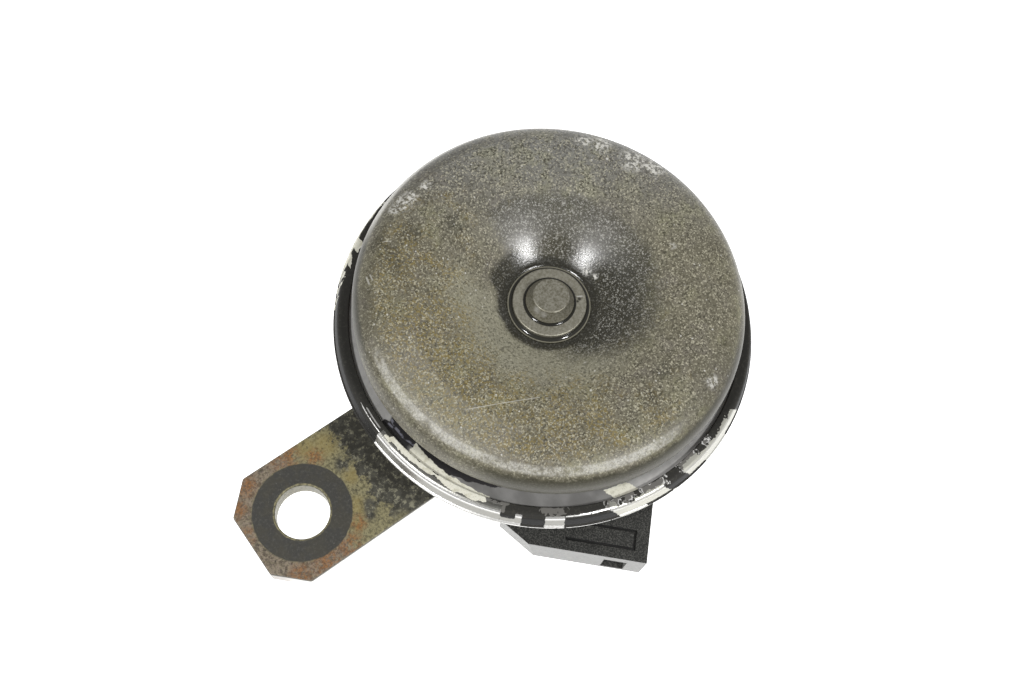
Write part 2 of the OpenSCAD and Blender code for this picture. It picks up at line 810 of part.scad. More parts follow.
// Outline of the socket's foot on the casing, in the socket's frame.
// It reaches under the body of the socket as far as the overlap says.
module foot_outline(overlap) {
    root_y = -socket_inner - overlap;
    tip_y = inner_rivet[1] + foot_margin;
    polygon([
        [-socket_back, root_y],
        [-socket_back, -socket_inner],
        [outer_rivet[0] - foot_margin / 2, outer_rivet[1] + foot_margin],
        [inner_rivet[0] - foot_margin / 2, tip_y],
        [inner_rivet[0] + foot_margin, tip_y],
        [inner_rivet[0] + 2 * foot_margin, -socket_inner],
        [inner_rivet[0] + 2 * foot_margin, root_y]
    ]);
}

// Moulded housing for the plug, with a riveted foot, a latch window,
// a leaning cut corner and a framed panel on its front face.
module plug_socket() {
    panel_near = 1.8;
    panel_far = 5.3;
    panel_lead = 2;
    panel_margin = 2.2;
    panel_start = cavity_end - panel_lead;
    panel_end = socket_mouth - panel_margin;
    color("black") difference() {
        at_socket() union() {
            block([-socket_back, -socket_side, z_socket_low],
                  [socket_mouth, -socket_inner, z_socket_top]);
            translate([0, 0, z_socket_top - foot_h]) linear_extrude(foot_h)
                foot_outline(cut);
        }
        at_socket() {
            block([cavity_end, -socket_side + socket_wall, z_socket_low + socket_wall],
                  [socket_mouth + cut, -socket_inner - socket_wall,
                   z_socket_top - socket_wall]);
            block([socket_mouth - window_inset - window_w, -socket_side - cut,
                   z_socket_low + socket_wall - 0.3],
                  [socket_mouth - window_inset, -socket_side + socket_wall + cut,
                   z_socket_top - socket_wall - 1.1]);
            panel_groove(panel_start, panel_end, -socket_side + panel_near,
                         -socket_side + panel_far);
            corner_block();
        }
        for (place = [inner_rivet, outer_rivet])
            at_socket(place[0], place[1], z_socket_low - cut)
                cylinder(r = socket_rivet_r + fit, h = socket_h + 2 * cut);
        terminal(outer_rivet, outer_blade_y, fit);
        terminal(inner_rivet, inner_blade_y, fit);
        rivet_well(outer_rivet);
        rivet_well(inner_rivet);
    }
}

// Three-sided groove that frames the panel.
module panel_groove(x0, x1, y0, y1) {
    z0 = z_socket_top - groove_d;
    z1 = z_socket_top + cut;
    block([x0, y0, z0], [x1, y0 + groove_w, z1]);
    block([x0, y1 - groove_w, z0], [x1, y1, z1]);
    block([x1 - groove_w, y0, z0], [x1, y1, z1]);
}

// Block that takes the corner off, leaning so that more goes at the rear.
module corner_block() {
    size = 20;
    translate([corner_cut - socket_back, -socket_side, z_socket_mid])
        rotate(-corner_angle) rotate([corner_lean, 0, 0])
            translate([-size, -size, -size]) cube([2 * size, size, 2 * size]);
}

// Room for a rivet's tail behind the foot.
module rivet_well(place) {
    at_socket(place[0], place[1], z_socket_low - cut)
        cylinder(r = rivet_head_r + 0.4, h = z_blade + cut - z_socket_low);
}

module socket_gasket() {
    color("dimgray") difference() {
        on_axis() rotate(socket_turn) translate([0, 0, z_socket_top])
            linear_extrude(foot_gasket_t) intersection() {
                foot_outline(socket_w / 2);
                circle(r = casing_r - casing_bend);
            }
        for (place = [inner_rivet, outer_rivet])
            at_socket(place[0], place[1], z_socket_top - cut)
                cylinder(r = sleeve_r() + fit, h = foot_gasket_t + 2 * cut);
    }
}

// Flat terminal: a strap from its rivet to the blade that the plug takes.
module terminal(place, blade_y, grow = 0) {
    eye_r = rivet_head_r + 0.1;
    low = [0, 0, z_blade - grow];
    high = [0, 0, z_blade + blade_t + grow];
    at_socket() {
        block([place[0] - blade_w / 2 - grow, blade_y - blade_w / 2 - grow, 0] + low,
              [place[0] + blade_w / 2 + grow, place[1], 0] + high);
        block([place[0] - blade_w / 2 - grow, blade_y - blade_w / 2 - grow, 0] + low,
              [blade_tip + grow, blade_y + blade_w / 2 + grow, 0] + high);
        translate([place[0], place[1], z_blade - grow])
            cylinder(r = eye_r + grow, h = blade_t + 2 * grow);
    }
}

module drilled_terminal(place, blade_y) {
    difference() {
        terminal(place, blade_y);
        at_socket(place[0], place[1], z_blade - cut)
            cylinder(r = socket_rivet_r + fit, h = blade_t + 2 * cut);
    }
}

module inner_terminal() {
    color("tan") drilled_terminal(inner_rivet, inner_blade_y);
}

module outer_terminal() {
    color("tan") drilled_terminal(outer_rivet, outer_blade_y);
}

module socket_rivets() {
    z_head = z_floor + insulator_t;
    color("tan") for (place = [inner_rivet, outer_rivet])
        at_socket(place[0], place[1], 0) {
            translate([0, 0, z_blade - rivet_head_h])
                cylinder(r = rivet_head_r, h = rivet_head_h);
            translate([0, 0, z_blade - rivet_head_h / 2])
                cylinder(r = socket_rivet_r, h = z_head - z_blade + rivet_head_h);
            translate([0, 0, z_head]) cylinder(r = rivet_head_r, h = rivet_head_h);
        }
}

// Insulating washers with sleeves through the casing's floor.
module terminal_insulators() {
    color("ivory") for (place = [inner_rivet, outer_rivet])
        at_socket(place[0], place[1], 0) difference() {
            union() {
                translate([0, 0, z_floor]) cylinder(r = insulator_r, h = insulator_t);
                translate([0, 0, z_socket_top])
                    cylinder(r = sleeve_r(), h = z_floor - z_socket_top + insulator_t / 2);
            }
            translate([0, 0, z_socket_top - cut])
                cylinder(r = socket_rivet_r + fit,
                         h = z_floor + insulator_t - z_socket_top + 2 * cut);
        }
}

// Radius at which the loose pieces lie between the coil and the wall.
annulus_r = (bobbin_r + casing_r - casing_t) / 2;
cap_grow = 0.15;
z_low_lead = z_floor + lead_level;
z_resistor = z_low_lead + lead_r + lead_gap + resistor_r;

module arc_resistor() {
    cap_len = 1.4;
    color("ivory") on_axis(z_resistor) rotate(resistor_turn)
        translate([annulus_r, resistor_len / 2, 0]) rotate([90, 0, 0]) {
            cylinder(r = resistor_r, h = resistor_len);
            cylinder(r = resistor_r + cap_grow, h = cap_len);
            translate([0, 0, resistor_len - cap_len])
                cylinder(r = resistor_r + cap_grow, h = cap_len);
        }
}

// Leads run up the side of the contact stack at these places along it.
moving_side_x = stack_x + 1.6;
resistor_side_x = moving_side_x + 1.3;
fixed_side_x = resistor_side_x + 1.3;
feed_side_x = fixed_side_x + 1.3;
stack_side = stack_w / 2 + lead_r + fit;
resistor_half = asin((resistor_len / 2 + lead_r) / annulus_r);
z_rivet_head = z_floor + insulator_t + rivet_head_h;

// Radius and angle about the horn's axis of a lead at the side of the stack.
function stack_place(x, z) =
    [norm([x, stack_side]), contact_turn - atan2(stack_side, x), z];

// Radius and angle about the horn's axis of a socket rivet's head.
function rivet_place(place) =
    [norm(place), socket_turn + atan2(place[1], place[0]), z_rivet_head];

// Two wires from the resistor's ends to the layers of the contact stack.
module resistor_leads() {
    near = [annulus_r, resistor_turn + resistor_half, z_resistor];
    far = [annulus_r, resistor_turn - resistor_half, z_resistor];
    z_over = z_resistor + resistor_r + cap_grow + lead_r + fit;
    z_higher = z_over + 2 * lead_r + lead_gap;
    color("silver") on_axis() {
        tube(lead_path(near, stack_place(resistor_side_x, z_points), z_over), lead_r);
        tube(lead_path(far, stack_place(fixed_side_x, z_cap_plate), z_higher), lead_r);
    }
}

// Lead from the start of the winding to the moving side of the breaker.
module coil_lead() {
    swing = 70;
    start = [bobbin_r + lead_r + fit, contact_turn - swing, z_low_lead - lead_gap];
    z_level = z_bobbin_top - 2 * lead_r;
    color("firebrick") on_axis()
        tube(lead_path(start, stack_place(moving_side_x, z_points), z_level), lead_r);
}

// Lead from the fixed side of the breaker to the inner terminal's rivet.
module contact_lead() {
    color("navy") on_axis()
        tube(lead_path(rivet_place(inner_rivet), stack_place(feed_side_x, z_cap_plate),
                       z_low_lead), lead_r);
}

// Lead from the end of the winding to the outer terminal's rivet.
module return_lead() {
    swing = 60;
    from = rivet_place(outer_rivet);
    end = [bobbin_r + lead_r + fit, from[1] - swing, z_low_lead];
    color("firebrick") on_axis() tube(lead_path(from, end, z_resistor), lead_r);
}

stay();
stay_bolt();
spring_washer();
rear_casing();
clamp_ring();
rear_gasket();
front_gasket();
diaphragm();
tone_disc();
front_washer();
centre_stud();
disc_collar();
armature();
armature_spacer();
pole_core();
coil_bobbin();
coil_winding();
coil_wrap();
coil_clip();
contact_base();
spring_root();
contact_spring();
push_button();
moving_point();
contact_insulator();
fixed_contact_arm();
fixed_point();
stack_cap_plate();
stack_rivets();
adjuster_bush();
adjusting_screw();
adjuster_lock_nut();
plug_socket();
socket_gasket();
inner_terminal();
outer_terminal();
socket_rivets();
terminal_insulators();
arc_resistor();
resistor_leads();
coil_lead();
contact_lead();
return_lead();
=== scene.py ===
"""Looks of a small disc horn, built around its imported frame.

Lengths are in millimetres in every class and function here, and become metres when a mesh is made.
The horn's axis is the line x = AXIS, y = 0, and the front of the horn looks along +Z.
"""

import json
import logging
import math
from dataclasses import dataclass
from enum import Enum
from functools import reduce
from typing import Any, Callable, Dict, Iterable, List, Optional, Sequence, Tuple, Union

import bmesh
import bpy
import numpy as np
from mathutils import Matrix, Vector


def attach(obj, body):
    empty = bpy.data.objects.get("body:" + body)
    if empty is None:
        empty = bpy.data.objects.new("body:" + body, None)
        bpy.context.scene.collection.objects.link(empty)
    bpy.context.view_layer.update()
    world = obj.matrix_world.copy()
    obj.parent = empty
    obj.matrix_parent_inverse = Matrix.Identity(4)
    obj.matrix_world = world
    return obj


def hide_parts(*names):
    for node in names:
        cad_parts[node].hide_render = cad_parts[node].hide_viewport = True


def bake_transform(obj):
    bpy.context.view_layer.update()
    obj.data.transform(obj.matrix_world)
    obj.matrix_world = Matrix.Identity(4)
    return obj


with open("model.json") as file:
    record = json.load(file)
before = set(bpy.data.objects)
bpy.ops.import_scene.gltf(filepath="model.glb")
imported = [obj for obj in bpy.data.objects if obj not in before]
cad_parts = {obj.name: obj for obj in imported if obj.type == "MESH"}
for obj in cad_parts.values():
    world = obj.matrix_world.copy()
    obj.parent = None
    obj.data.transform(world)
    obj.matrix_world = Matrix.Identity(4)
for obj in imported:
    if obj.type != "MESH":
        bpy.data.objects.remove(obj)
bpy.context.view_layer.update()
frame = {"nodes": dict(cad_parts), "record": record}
LOG = logging.getLogger("disc_horn")

MM = 0.001
AXIS = 48.5
RIM_TOP = 22.4
STUD_BORE = 3.05
HUB_Z = 26.5
WASHER_R = 5.9
FULL_TURN = 2 * math.pi
SHARP = math.radians(40.0)
WHITE = (1.0, 1.0, 1.0, 1.0)

Socket = bpy.types.NodeSocket
Piece = bpy.types.Object
Material = bpy.types.Material
Tones = Tuple[int, int, int]
Row = Tuple[float, ...]
Table = Tuple[Row, ...]
Value = Union[float, Socket, "Field"]
Colour = Union[Tones, Socket]
Feeds = Dict[Union[int, str], Any]


def tone(red: int, green: int, blue: int) -> Row:
    """A colour as seen on a screen, 0 to 255 a channel, turned into a linear one.

    Args:
        red: red channel.
        green: green channel.
        blue: blue channel.

    Returns:
        Linear red, green and blue, and 1 for alpha.
    """
    part = np.array([red, green, blue]) / 255.0
    linear = np.where(part <= 0.04045, part / 12.92, ((part + 0.055) / 1.055) ** 2.4)
    return (*linear.tolist(), 1.0)


class Field:
    """A number that varies over a surface, with plain arithmetic that adds nodes."""

    def __init__(self, graph: "Graph", socket: Socket) -> None:
        """Keeps the node's output and the graph that it belongs to."""
        self.graph, self.socket = graph, socket

    def __add__(self, other: Value) -> "Field":
        """Sum."""
        return self.graph.math("ADD", self, other)

    def __sub__(self, other: float) -> "Field":
        """This less a fixed number."""
        return self + -other

    def __mul__(self, other: Value) -> "Field":
        """Product."""
        return self.graph.math("MULTIPLY", self, other)

    def __or__(self, other: Value) -> "Field":
        """The greater of the two."""
        return self.graph.math("MAXIMUM", self, other)

    def __invert__(self) -> "Field":
        """One minus this."""
        return self.graph.math("SUBTRACT", 1.0, self)

    def __abs__(self) -> "Field":
        """This without its sign."""
        return self.graph.math("ABSOLUTE", self)

    def step(self, low: float, high: float) -> "Field":
        """Smooth step from 0 at low to 1 at high, or falling where low is the greater."""
        return self.graph.field("MapRange", {"Value": self, "From Min": low, "From Max": high},
                                interpolation_type="SMOOTHSTEP")

    def span(self, low: float, high: float) -> "Field":
        """Straight change from low, where this is 0, to high, where it is 1."""
        return self * (high - low) + low

    def window(self, low: float, high: float, soft: float) -> "Field":
        """1 between two bounds, falling to 0 over a soft width past each."""
        return self.step(low - soft, low) * self.step(high + soft, high)


def most(fields: Iterable[Field]) -> Field:
    """The greatest of several fields."""
    return reduce(Field.__or__, fields)


class Graph:
    """A material's node tree, with short calls for the nodes that the finishes use."""

    def __init__(self, name: str) -> None:
        """Starts a material with one shader and its object coordinates in millimetres.

        Args:
            name: the material's name.
        """
        self.material = bpy.data.materials.new(name)
        self.material.use_nodes = True
        self.tree = self.material.node_tree
        self.tree.nodes.clear()
        self.shader = self.node("BsdfPrincipled", {})
        self.node("OutputMaterial", {0: self.shader.outputs[0]})
        coords = self.node("TexCoord", {}).outputs["Object"]
        self.place = self.field("VectorMath", {0: coords, "Scale": 1 / MM}, operation="SCALE")

    def put(self, socket: Socket, value: Any) -> None:
        """Links a socket to a field or colour, or sets its number, vector or screen tones.

        Args:
            socket: the input to feed.
            value: what it gets; None leaves it alone.
        """
        value = value.socket if isinstance(value, Field) else value
        if isinstance(value, Socket):
            self.tree.links.new(value, socket)
        elif value is not None:
            socket.default_value = tone(*value) if isinstance(value, tuple) else value

    def node(self, kind: str, inputs: Feeds, **options: str) -> bpy.types.Node:
        """A node of a kind with its options set and its inputs fed.

        Args:
            kind: the node's type, without its usual prefix.
            inputs: what goes into each named or numbered input.
            options: the node's own choices.

        Returns:
            The node.
        """
        made = self.tree.nodes.new("ShaderNode" + kind)
        for option, choice in options.items():
            setattr(made, option, choice)
        for key, value in inputs.items():
            self.put(made.inputs[key], value)
        return made

    def field(self, kind: str, inputs: Feeds, out: Union[int, str] = 0,
              **options: str) -> Field:
        """One output of such a node."""
        return Field(self, self.node(kind, inputs, **options).outputs[out])

    def math(self, operation: str, *values: Value) -> Field:
        """One arithmetic operation on numbers or fields."""
        return self.field("Math", dict(enumerate(values)), operation=operation)

    def vector(self, operation: str, first: Field, second: Sequence[float],
               out: str = "Vector") -> Field:
        """One vector operation on a field and a fixed vector."""
        return self.field("VectorMath", {0: first, 1: Vector(second)}, out, operation=operation)

    def axes(self, centre: Sequence[float] = (0.0, 0.0, 0.0)) -> List[Field]:
        """X, Y and Z of the shaded point, counted from a centre."""
        off = self.vector("SUBTRACT", self.place, centre)
        return [Field(self, out) for out in self.node("SeparateXYZ", {0: off}).outputs]

    def radius(self, x: Field, y: Field) -> Field:
        """Distance from the origin of two coordinates."""
        return self.math("SQRT", x * x + y * y)

    def turn(self, x: Field, y: Field) -> Field:
        """Azimuth of two coordinates, from 0 to 360 degrees."""
        angle = self.math("DEGREES", self.math("ARCTAN2", y, x))
        return self.math("FLOORED_MODULO", angle + 360.0, 360.0)

    def noise(self, size: float, seed: float, detail: float = 2.0, rough: float = 0.5) -> Field:
        """Cloudy pattern from about 0.3 to 0.7, with features of about that size."""
        return self.field("TexNoise", {"Vector": self.place, "W": seed, "Scale": 1.0 / size,
                                       "Detail": detail, "Roughness": rough},
                          noise_dimensions="4D")

    def cells(self, size: float, seed: float) -> Tuple[Field, Field]:
        """A random number that fills each angular cell, and the distance from its middle.

        Args:
            size: rough size of a cell.
            seed: picks one of the patterns.

        Returns:
            The number of 0 to 1, and the distance as a share of a cell.
        """
        made = self.node("TexVoronoi", {"Vector": self.place, "W": seed, "Scale": 1.0 / size},
                         voronoi_dimensions="4D")
        chance = self.field("SeparateColor", {0: made.outputs["Color"]})
        return chance, Field(self, made.outputs["Distance"])

    def flecks(self, size: float, seed: float, share: float, reach: float = 0.32) -> Field:
        """Round flecks in a share of the cells of a pattern with cells of that size."""
        chance, far = self.cells(size, seed)
        return self.math("GREATER_THAN", chance, 1.0 - share) * far.step(reach, reach * 0.45)

    def spots(self, places: Table, z: float) -> Field:
        """Soft round spots, each given by its x, y and reach, at one height."""
        return most(self.vector("DISTANCE", self.place, (x, y, z), "Value")
                    .step(reach, reach * 0.25) for x, y, reach in places)

    def streaks(self, *rows: Row) -> Field:
        """Thin straight marks, each given by x and y of both ends, its height and its width.

        Args:
            rows: six numbers for each mark.

        Returns:
            A mask of all the marks.
        """
        marks = []
        for row in rows:
            z, width = row[4:]
            way = (Vector(row[2:4]) - Vector(row[:2])).to_3d()
            length = way.length
            way.normalize()
            off = self.vector("SUBTRACT", self.place, (*row[:2], z))
            run = self.vector("DOT_PRODUCT", off, way, "Value")
            side = abs(self.vector("DOT_PRODUCT", off, (-way.y, way.x, 0.0), "Value"))
            ends = run.step(0.0, 0.4) * run.step(length, length - 0.4)
            marks.append(ends * side.step(width, width * 0.3))
        return most(marks)

    def upright(self) -> Field:
        """Z of the surface's own normal: 1 on a face that looks up, 0 on a wall."""
        normal = self.node("TexCoord", {}).outputs["Normal"]
        return self.field("SeparateXYZ", {0: normal}, "Z")

    def attribute(self, name: str) -> Field:
        """Number that the mesh carries under a name."""
        return self.field("Attribute", {}, "Fac", attribute_name=name)

    def mix(self, mask: Value, below: Colour, above: Colour) -> Socket:
        """Colour below where the mask is 0 and above where it is 1."""
        return self.node("Mix", {0: mask, 6: below, 7: above}, data_type="RGBA").outputs[2]

    def coats(self, colour: Colour, *coats: Tuple[Value, Colour]) -> Colour:
        """A colour under coats, each laid on as far as its mask says.

        Args:
            colour: what lies lowest.
            coats: a mask and a colour for each coat.

        Returns:
            The colour that shows.
        """
        for mask, coat in coats:
            colour = self.mix(mask, colour, coat)
        return colour

    def blend(self, mask: Value, below: Value, above: Value) -> Field:
        """Number below where the mask is 0 and above where it is 1."""
        return self.field("Mix", {0: mask, 2: below, 3: above})

    def bump(self, height: Value, depth: float) -> Field:
        """Normal of a surface raised by a height of 0 to 1 times a depth."""
        return self.field("Bump", {"Distance": depth * MM, "Height": height})

    def done(self, colour: Colour, roughness: Value, metallic: Value = 0.0,
             normal: Optional[Field] = None, specular: float = 0.5) -> Material:
        """Feeds the shader and returns the material.

        Args:
            colour: base colour.
            roughness: 0 for a mirror, 1 for chalk.
            metallic: 0 for paint, 1 for bare metal.
            normal: the relief's normal.
            specular: how strongly it mirrors head-on.

        Returns:
            The material.
        """
        for name, value in (("Base Color", colour), ("Roughness", roughness),
                            ("Metallic", metallic), ("Normal", normal)):
            self.put(self.shader.inputs[name], value)
        self.shader.inputs["Specular IOR Level"].default_value = specular
        return self.material


@dataclass(frozen=True)
class AgedEnamel:
    """Old black enamel of the tone disc under pale brown dust, glossier in its hollow.

    Each row of shades and lights is a zone: a stretch of azimuth and how softly it ends,
    a stretch of radius and how softly it ends, and the zone's strength. The shades zones are
    painted shade, and the lights zones are painted light and painted reflection.
    """

    enamel: Tones = (48, 47, 40)
    film: Tones = (123, 118, 99)
    cool: Tones = (134, 133, 128)
    violet: Tones = (116, 110, 104)
    olive: Tones = (128, 127, 96)
    # paler dust tone for the near side of the hollow, which also stands for painted light
    haze: Tones = (154, 151, 132)
    # dark tone of the pits and dots, and of the painted shade zones
    pit: Tones = (56, 53, 40)
    grain: Tones = (196, 191, 168)
    ochre: Tones = (140, 122, 62)
    # pale tone of scuffs and flecks, and of the painted glints, painted highlight and painted light
    # zones
    scuff: Tones = (214, 212, 204)
    # dark tone for the outer edge of the disc: painted shade
    rim: Tones = (43, 40, 21)
    lacquer: Tones = (44, 43, 38)
    hollow: Tones = (34, 33, 26)
    level: float = 31.5
    # painted shade: zones of the shoulder drawn darker by azimuth
    shades: Table = ((108, 150, 14, 23, 27.4, 1.5, 0.08), (78, 154, 12, 27.8, 29.4, 0.5, 0.28),
                     (272, 306, 10, 27.2, 29.6, 0.6, 0.24))
    # painted light: a lighter zone on the near shoulder, and painted reflection along the outer
    # edge
    lights: Table = ((172, 212, 16, 23.5, 27.5, 1.5, 0.09), (52, 116, 14, 30.2, 40, 0.5, 0.75),
                     (330, 370, 12, 30.4, 40, 0.5, 0.25))
    bald: Table = ((36, 20.3, 3.2), (31.1, 18.9, 2.6), (31.2, 16.3, 2.4), (30.8, 21.8, 2),
                   (42.7, 18.2, 2.8), (50, -22.2, 2.4), (54.4, -20.4, 2.4))
    rubbed: Table = ((73.5, 11.1, 3.2), (75.7, 8.4, 2.8), (71, 16.5, 2.6), (69.1, 18.7, 2),
                     (38.1, 25.6, 2.3), (39.6, 25.7, 1.9), (36.4, 25.4, 1.5), (42.8, 26, 1.5),
                     (59.4, -25.9, 1.6), (68.8, -4.8, 1.2))

    def zones(self, turn: Field, r: Field, table: Table) -> Field:
        """Strength of a table's zones at each azimuth and radius."""
        return most(turn.window(*row[:3]) * r.window(*row[3:6]) * row[6] for row in table)

    def material(self) -> Material:
        """Enamel, then a film, pits, ochre, grains, scuffs and scratches over it, with painted
        highlights, painted shade and painted reflection laid on too.

        Returns:
            The material.
        """
        g = Graph("aged_enamel")
        x, y, _ = g.axes((AXIS, 0, 0))
        r, turn = g.radius(x, y), g.turn(x, y)
        cloud = g.noise(8, 1, 3)
        blotch = g.noise(2.8, 14, 4, 0.65)
        patch = g.noise(1.5, 2, 4, 0.65)
        sparkle = g.noise(0.24, 9, 3, 0.7)
        ragged = patch.span(-1.2, 1.2)
        inner = r + turn.window(90, 120, 16) * -1.9
        middle = (inner + ragged * 0.6).step(9.1, 7.7)
        # clean, darker enamel toward the lower right of the hollow: less dust, and partly painted
        # shade
        lee = (g.radius(x - 5, y + 3.8) + ragged * 2).step(13.6, 6.2)
        bare = middle | lee
        opposite = g.turn(x * -1, y * -1)
        thin = opposite.window(162, 266, 12) * (r + ragged).step(18.4, 16.2)
        near = x * -0.9 + y * -0.42
        # the near side of the hollow drawn lighter: paler dust, and painted light on the slope
        haze = near.step(0, 6.5) * r.step(18.5, 12) * ~bare * patch.span(0.7, 1.25)
        shoulder = r.step(26, 29)
        film = (~(bare * 0.95) * ~(thin * 0.56) * cloud.step(0.35, 0.65).span(0.85, 1)
                * blotch.step(0.36, 0.62).span(0.78, 1))
        rough = patch.step(0.36, 0.6).span(0.65, 1) * ~(haze * 0.2) * ~(shoulder * 0.25)
        pits = g.noise(0.42, 3, 3, 0.65).step(0.52, 0.41) * rough * film
        clean = bare | thin
        grains = g.noise(0.28, 4, 3, 0.62).step(0.53, 0.61) * rough * ~(clean * 0.85)
        lone = (g.flecks(0.6, 5, 0.10) | g.flecks(1.4, 6, 0.04, 0.24)) * ~(clean * 0.8)
        # white sparkles in the clean enamel: painted glints
        painted_glints = sparkle.step(0.54, 0.61) * clean
        dots = sparkle.step(0.48, 0.40) * clean
        side = x * -0.011 + y * -0.002
        stain = (g.noise(4.2, 7, 4, 0.6) + side).step(0.50, 0.74) * r.step(10, 16) * r.step(29, 26)
        ochre = g.noise(0.42, 8, 3, 0.65).step(0.46, 0.58) * stain
        dust = g.mix((x * 0.58 + y * 0.81).step(6, 26), self.film, self.cool)
        tint = g.mix(cloud.step(0.40, 0.62), self.violet, self.olive)
        dust = g.mix(blotch.step(0.44, 0.6) * 0.45, dust, tint)
        bald = g.spots(self.bald, self.level) * patch.step(0.34, 0.5)
        film = film * ~(bald * 0.6)
        near_dust_and_light_specks = haze * sparkle.step(0.36, 0.60).span(0.72, 1)
        # a pale speckled band along part of the shoulder: a painted highlight
        painted_shoulder_highlight = (turn.window(172, 268, 12) * r.window(28.5, 29.2, 0.5)
                 * sparkle.step(0.42, 0.58).span(0.4, 1) * patch.step(0.30, 0.54) * 0.58)
        # the outer edge drawn darker, most on the lower side: painted shade
        edge = (r + ragged * 0.5).step(29.5, 30.3)
        shade = turn.window(134, 304, 16).span(0.4, 0.92) * ~(turn.window(170, 206, 14) * 0.55)
        joint = r.window(5.7, 6.42, 0.1)
        colour = g.coats(
            self.enamel, (film, dust), (near_dust_and_light_specks, self.haze), (pits * 0.92, self.pit),
            (ochre * 0.6, self.ochre), (grains * 0.72, self.grain),
            (painted_glints * middle.span(0.5, 0.22), self.scuff), (dots * 0.8, self.pit),
            (lone * 0.8, self.scuff), (self.scuffs(g), self.scuff), (painted_shoulder_highlight, self.scuff),
            (edge * shade, self.rim), (r.step(8.6, 7.2) * 0.6, self.hollow),
            # the zone tables lay painted shade and painted light over the enamel
            (self.zones(turn, r, self.shades), self.pit),
            (self.zones(turn, r, self.lights), self.scuff), (joint, self.lacquer),
            (r.window(6.5, 6.6, 0.07) * 0.3, self.grain))
        dusty = film * ~(thin * 0.9) * ~(shoulder * 0.45) | r.step(9.6, 13) * 0.7 | edge * 0.8
        relief = (sparkle + grains * 0.5 + lone * 0.5) * ~joint
        return g.done(colour, g.blend(joint, dusty.span(0.17, 0.5), 0.1), 0, g.bump(relief, 0.022))

    def scuffs(self, g: Graph) -> Field:
        """Rubbed places on the shoulder and thin scratches, as one mask.

        Args:
            g: the graph to add them to.

        Returns:
            The mask.
        """
        rub = g.noise(0.6, 11, 4, 0.7).step(0.46, 0.58)
        left = g.streaks((26.3, 18.5, 25.8, 16.6, 31.2, 0.20), (26.9, 18.4, 26.6, 16.9, 31.4, 0.16))
        crumb = (g.spots(((56.7, 1, 1.1), (57.3, -0.6, 0.8)), 27.2)
                 * g.noise(0.35, 13).step(0.46, 0.56))
        lines = g.streaks((31.5, 21.7, 32.9, 20.8, self.level, 0.12),
                          (26, -8.2, 36.5, -12.9, self.level, 0.10))
        return g.spots(self.rubbed, self.level) * rub * 1.3 + left * 0.6 + lines * 0.5 + crumb


@dataclass(frozen=True)
class ChippedEnamel:
    """Black enamel of the rim, broken away to bare metal where the mesh says so."""

    enamel: Tones = (54, 53, 50)
    dirty: Tones = (96, 94, 86)
    # darker enamel tone for the walls: painted shade
    wall: Tones = (24, 24, 23)
    metal: Tones = (138, 137, 132)
    # white of flakes and worn lines, and of the painted highlight on the folds
    bright: Tones = (232, 231, 228)
    primer: Tones = (232, 230, 216)
    stained: Tones = (176, 172, 146)
    worn: Tones = (112, 110, 106)
    tinned: Tones = (186, 185, 175)

    def material(self) -> Material:
        """Enamel over metal, parted along angular lines about the chips of the mesh.

        Returns:
            The material.
        """
        g = Graph("chipped_enamel")
        x, _, z = g.axes((AXIS, 0, 0))
        up = g.upright()
        pale = x.step(-15, -8)
        wavy = g.noise(1.3, 2, 3).span(-0.75, 0.75) + g.noise(0.35, 3, 3).span(-0.35, 0.35)
        wavy = wavy * pale.span(0.4, 1)
        bare = (g.attribute("bare") + wavy).step(-0.02, 0.04)
        broken = wavy + g.noise(2.4, 9, 3, 0.6).span(-0.9, 0.9)
        cream = (g.attribute("cream") + broken).step(-0.02, 0.04)
        torn = (g.attribute("worn") + g.cells(0.7, 3)[0].span(-0.45, 0.45)
                + g.noise(1.6, 4, 3).span(-1.3, 1.3))
        worn = torn.step(-0.03, 0.10)
        line = g.attribute("line").step(-0.05, 0.03) * g.noise(0.8, 8, 2).step(0.34, 0.42)
        # the walls of the ring take the darker tone: painted shade
        side = up.step(0.75, 0.35)
        dirt = g.noise(0.4, 5, 4, 0.65).step(0.52, 0.66)
        flakes = abs(torn).step(0.16, 0.05) * ~side * g.noise(0.9, 10, 2).step(0.44, 0.52) * pale
        # bare metal on the rounded folds drawn whiter: a painted highlight
        fold = up.step(0.30, 0.50) * ~(pale * 0.6) * (up.step(0.92, 0.84) | z.step(21, 20.8))
        metal = g.mix(fold, g.mix(pale, self.metal, self.tinned), self.bright)
        stain = g.noise(0.9, 6, 4, 0.6).step(0.50, 0.66)
        chalk = g.noise(0.28, 14, 3, 0.7).step(0.52, 0.64)
        cracked = g.mix(stain * 0.5 | chalk * 0.45, self.primer, self.stained)
        colour = g.coats(self.enamel, (dirt * 0.25, self.dirty), (side, self.wall),
                         (worn, self.worn), (flakes * 0.8, self.bright), (bare, metal),
                         (cream, cracked), (line, self.bright))
        shown = bare | line
        roughness = g.blend(shown, g.blend(worn, 0.5, 0.42), dirt.span(0.30, 0.42))
        metallic = shown * ~cream * pale.span(0.85, 0.35)
        lost = bare | cream | worn * 0.5
        normal = g.bump(lost * -0.8 + g.noise(0.3, 7, 3) * 0.35, 0.05)
        return g.done(colour, roughness, metallic, normal, 0.12)


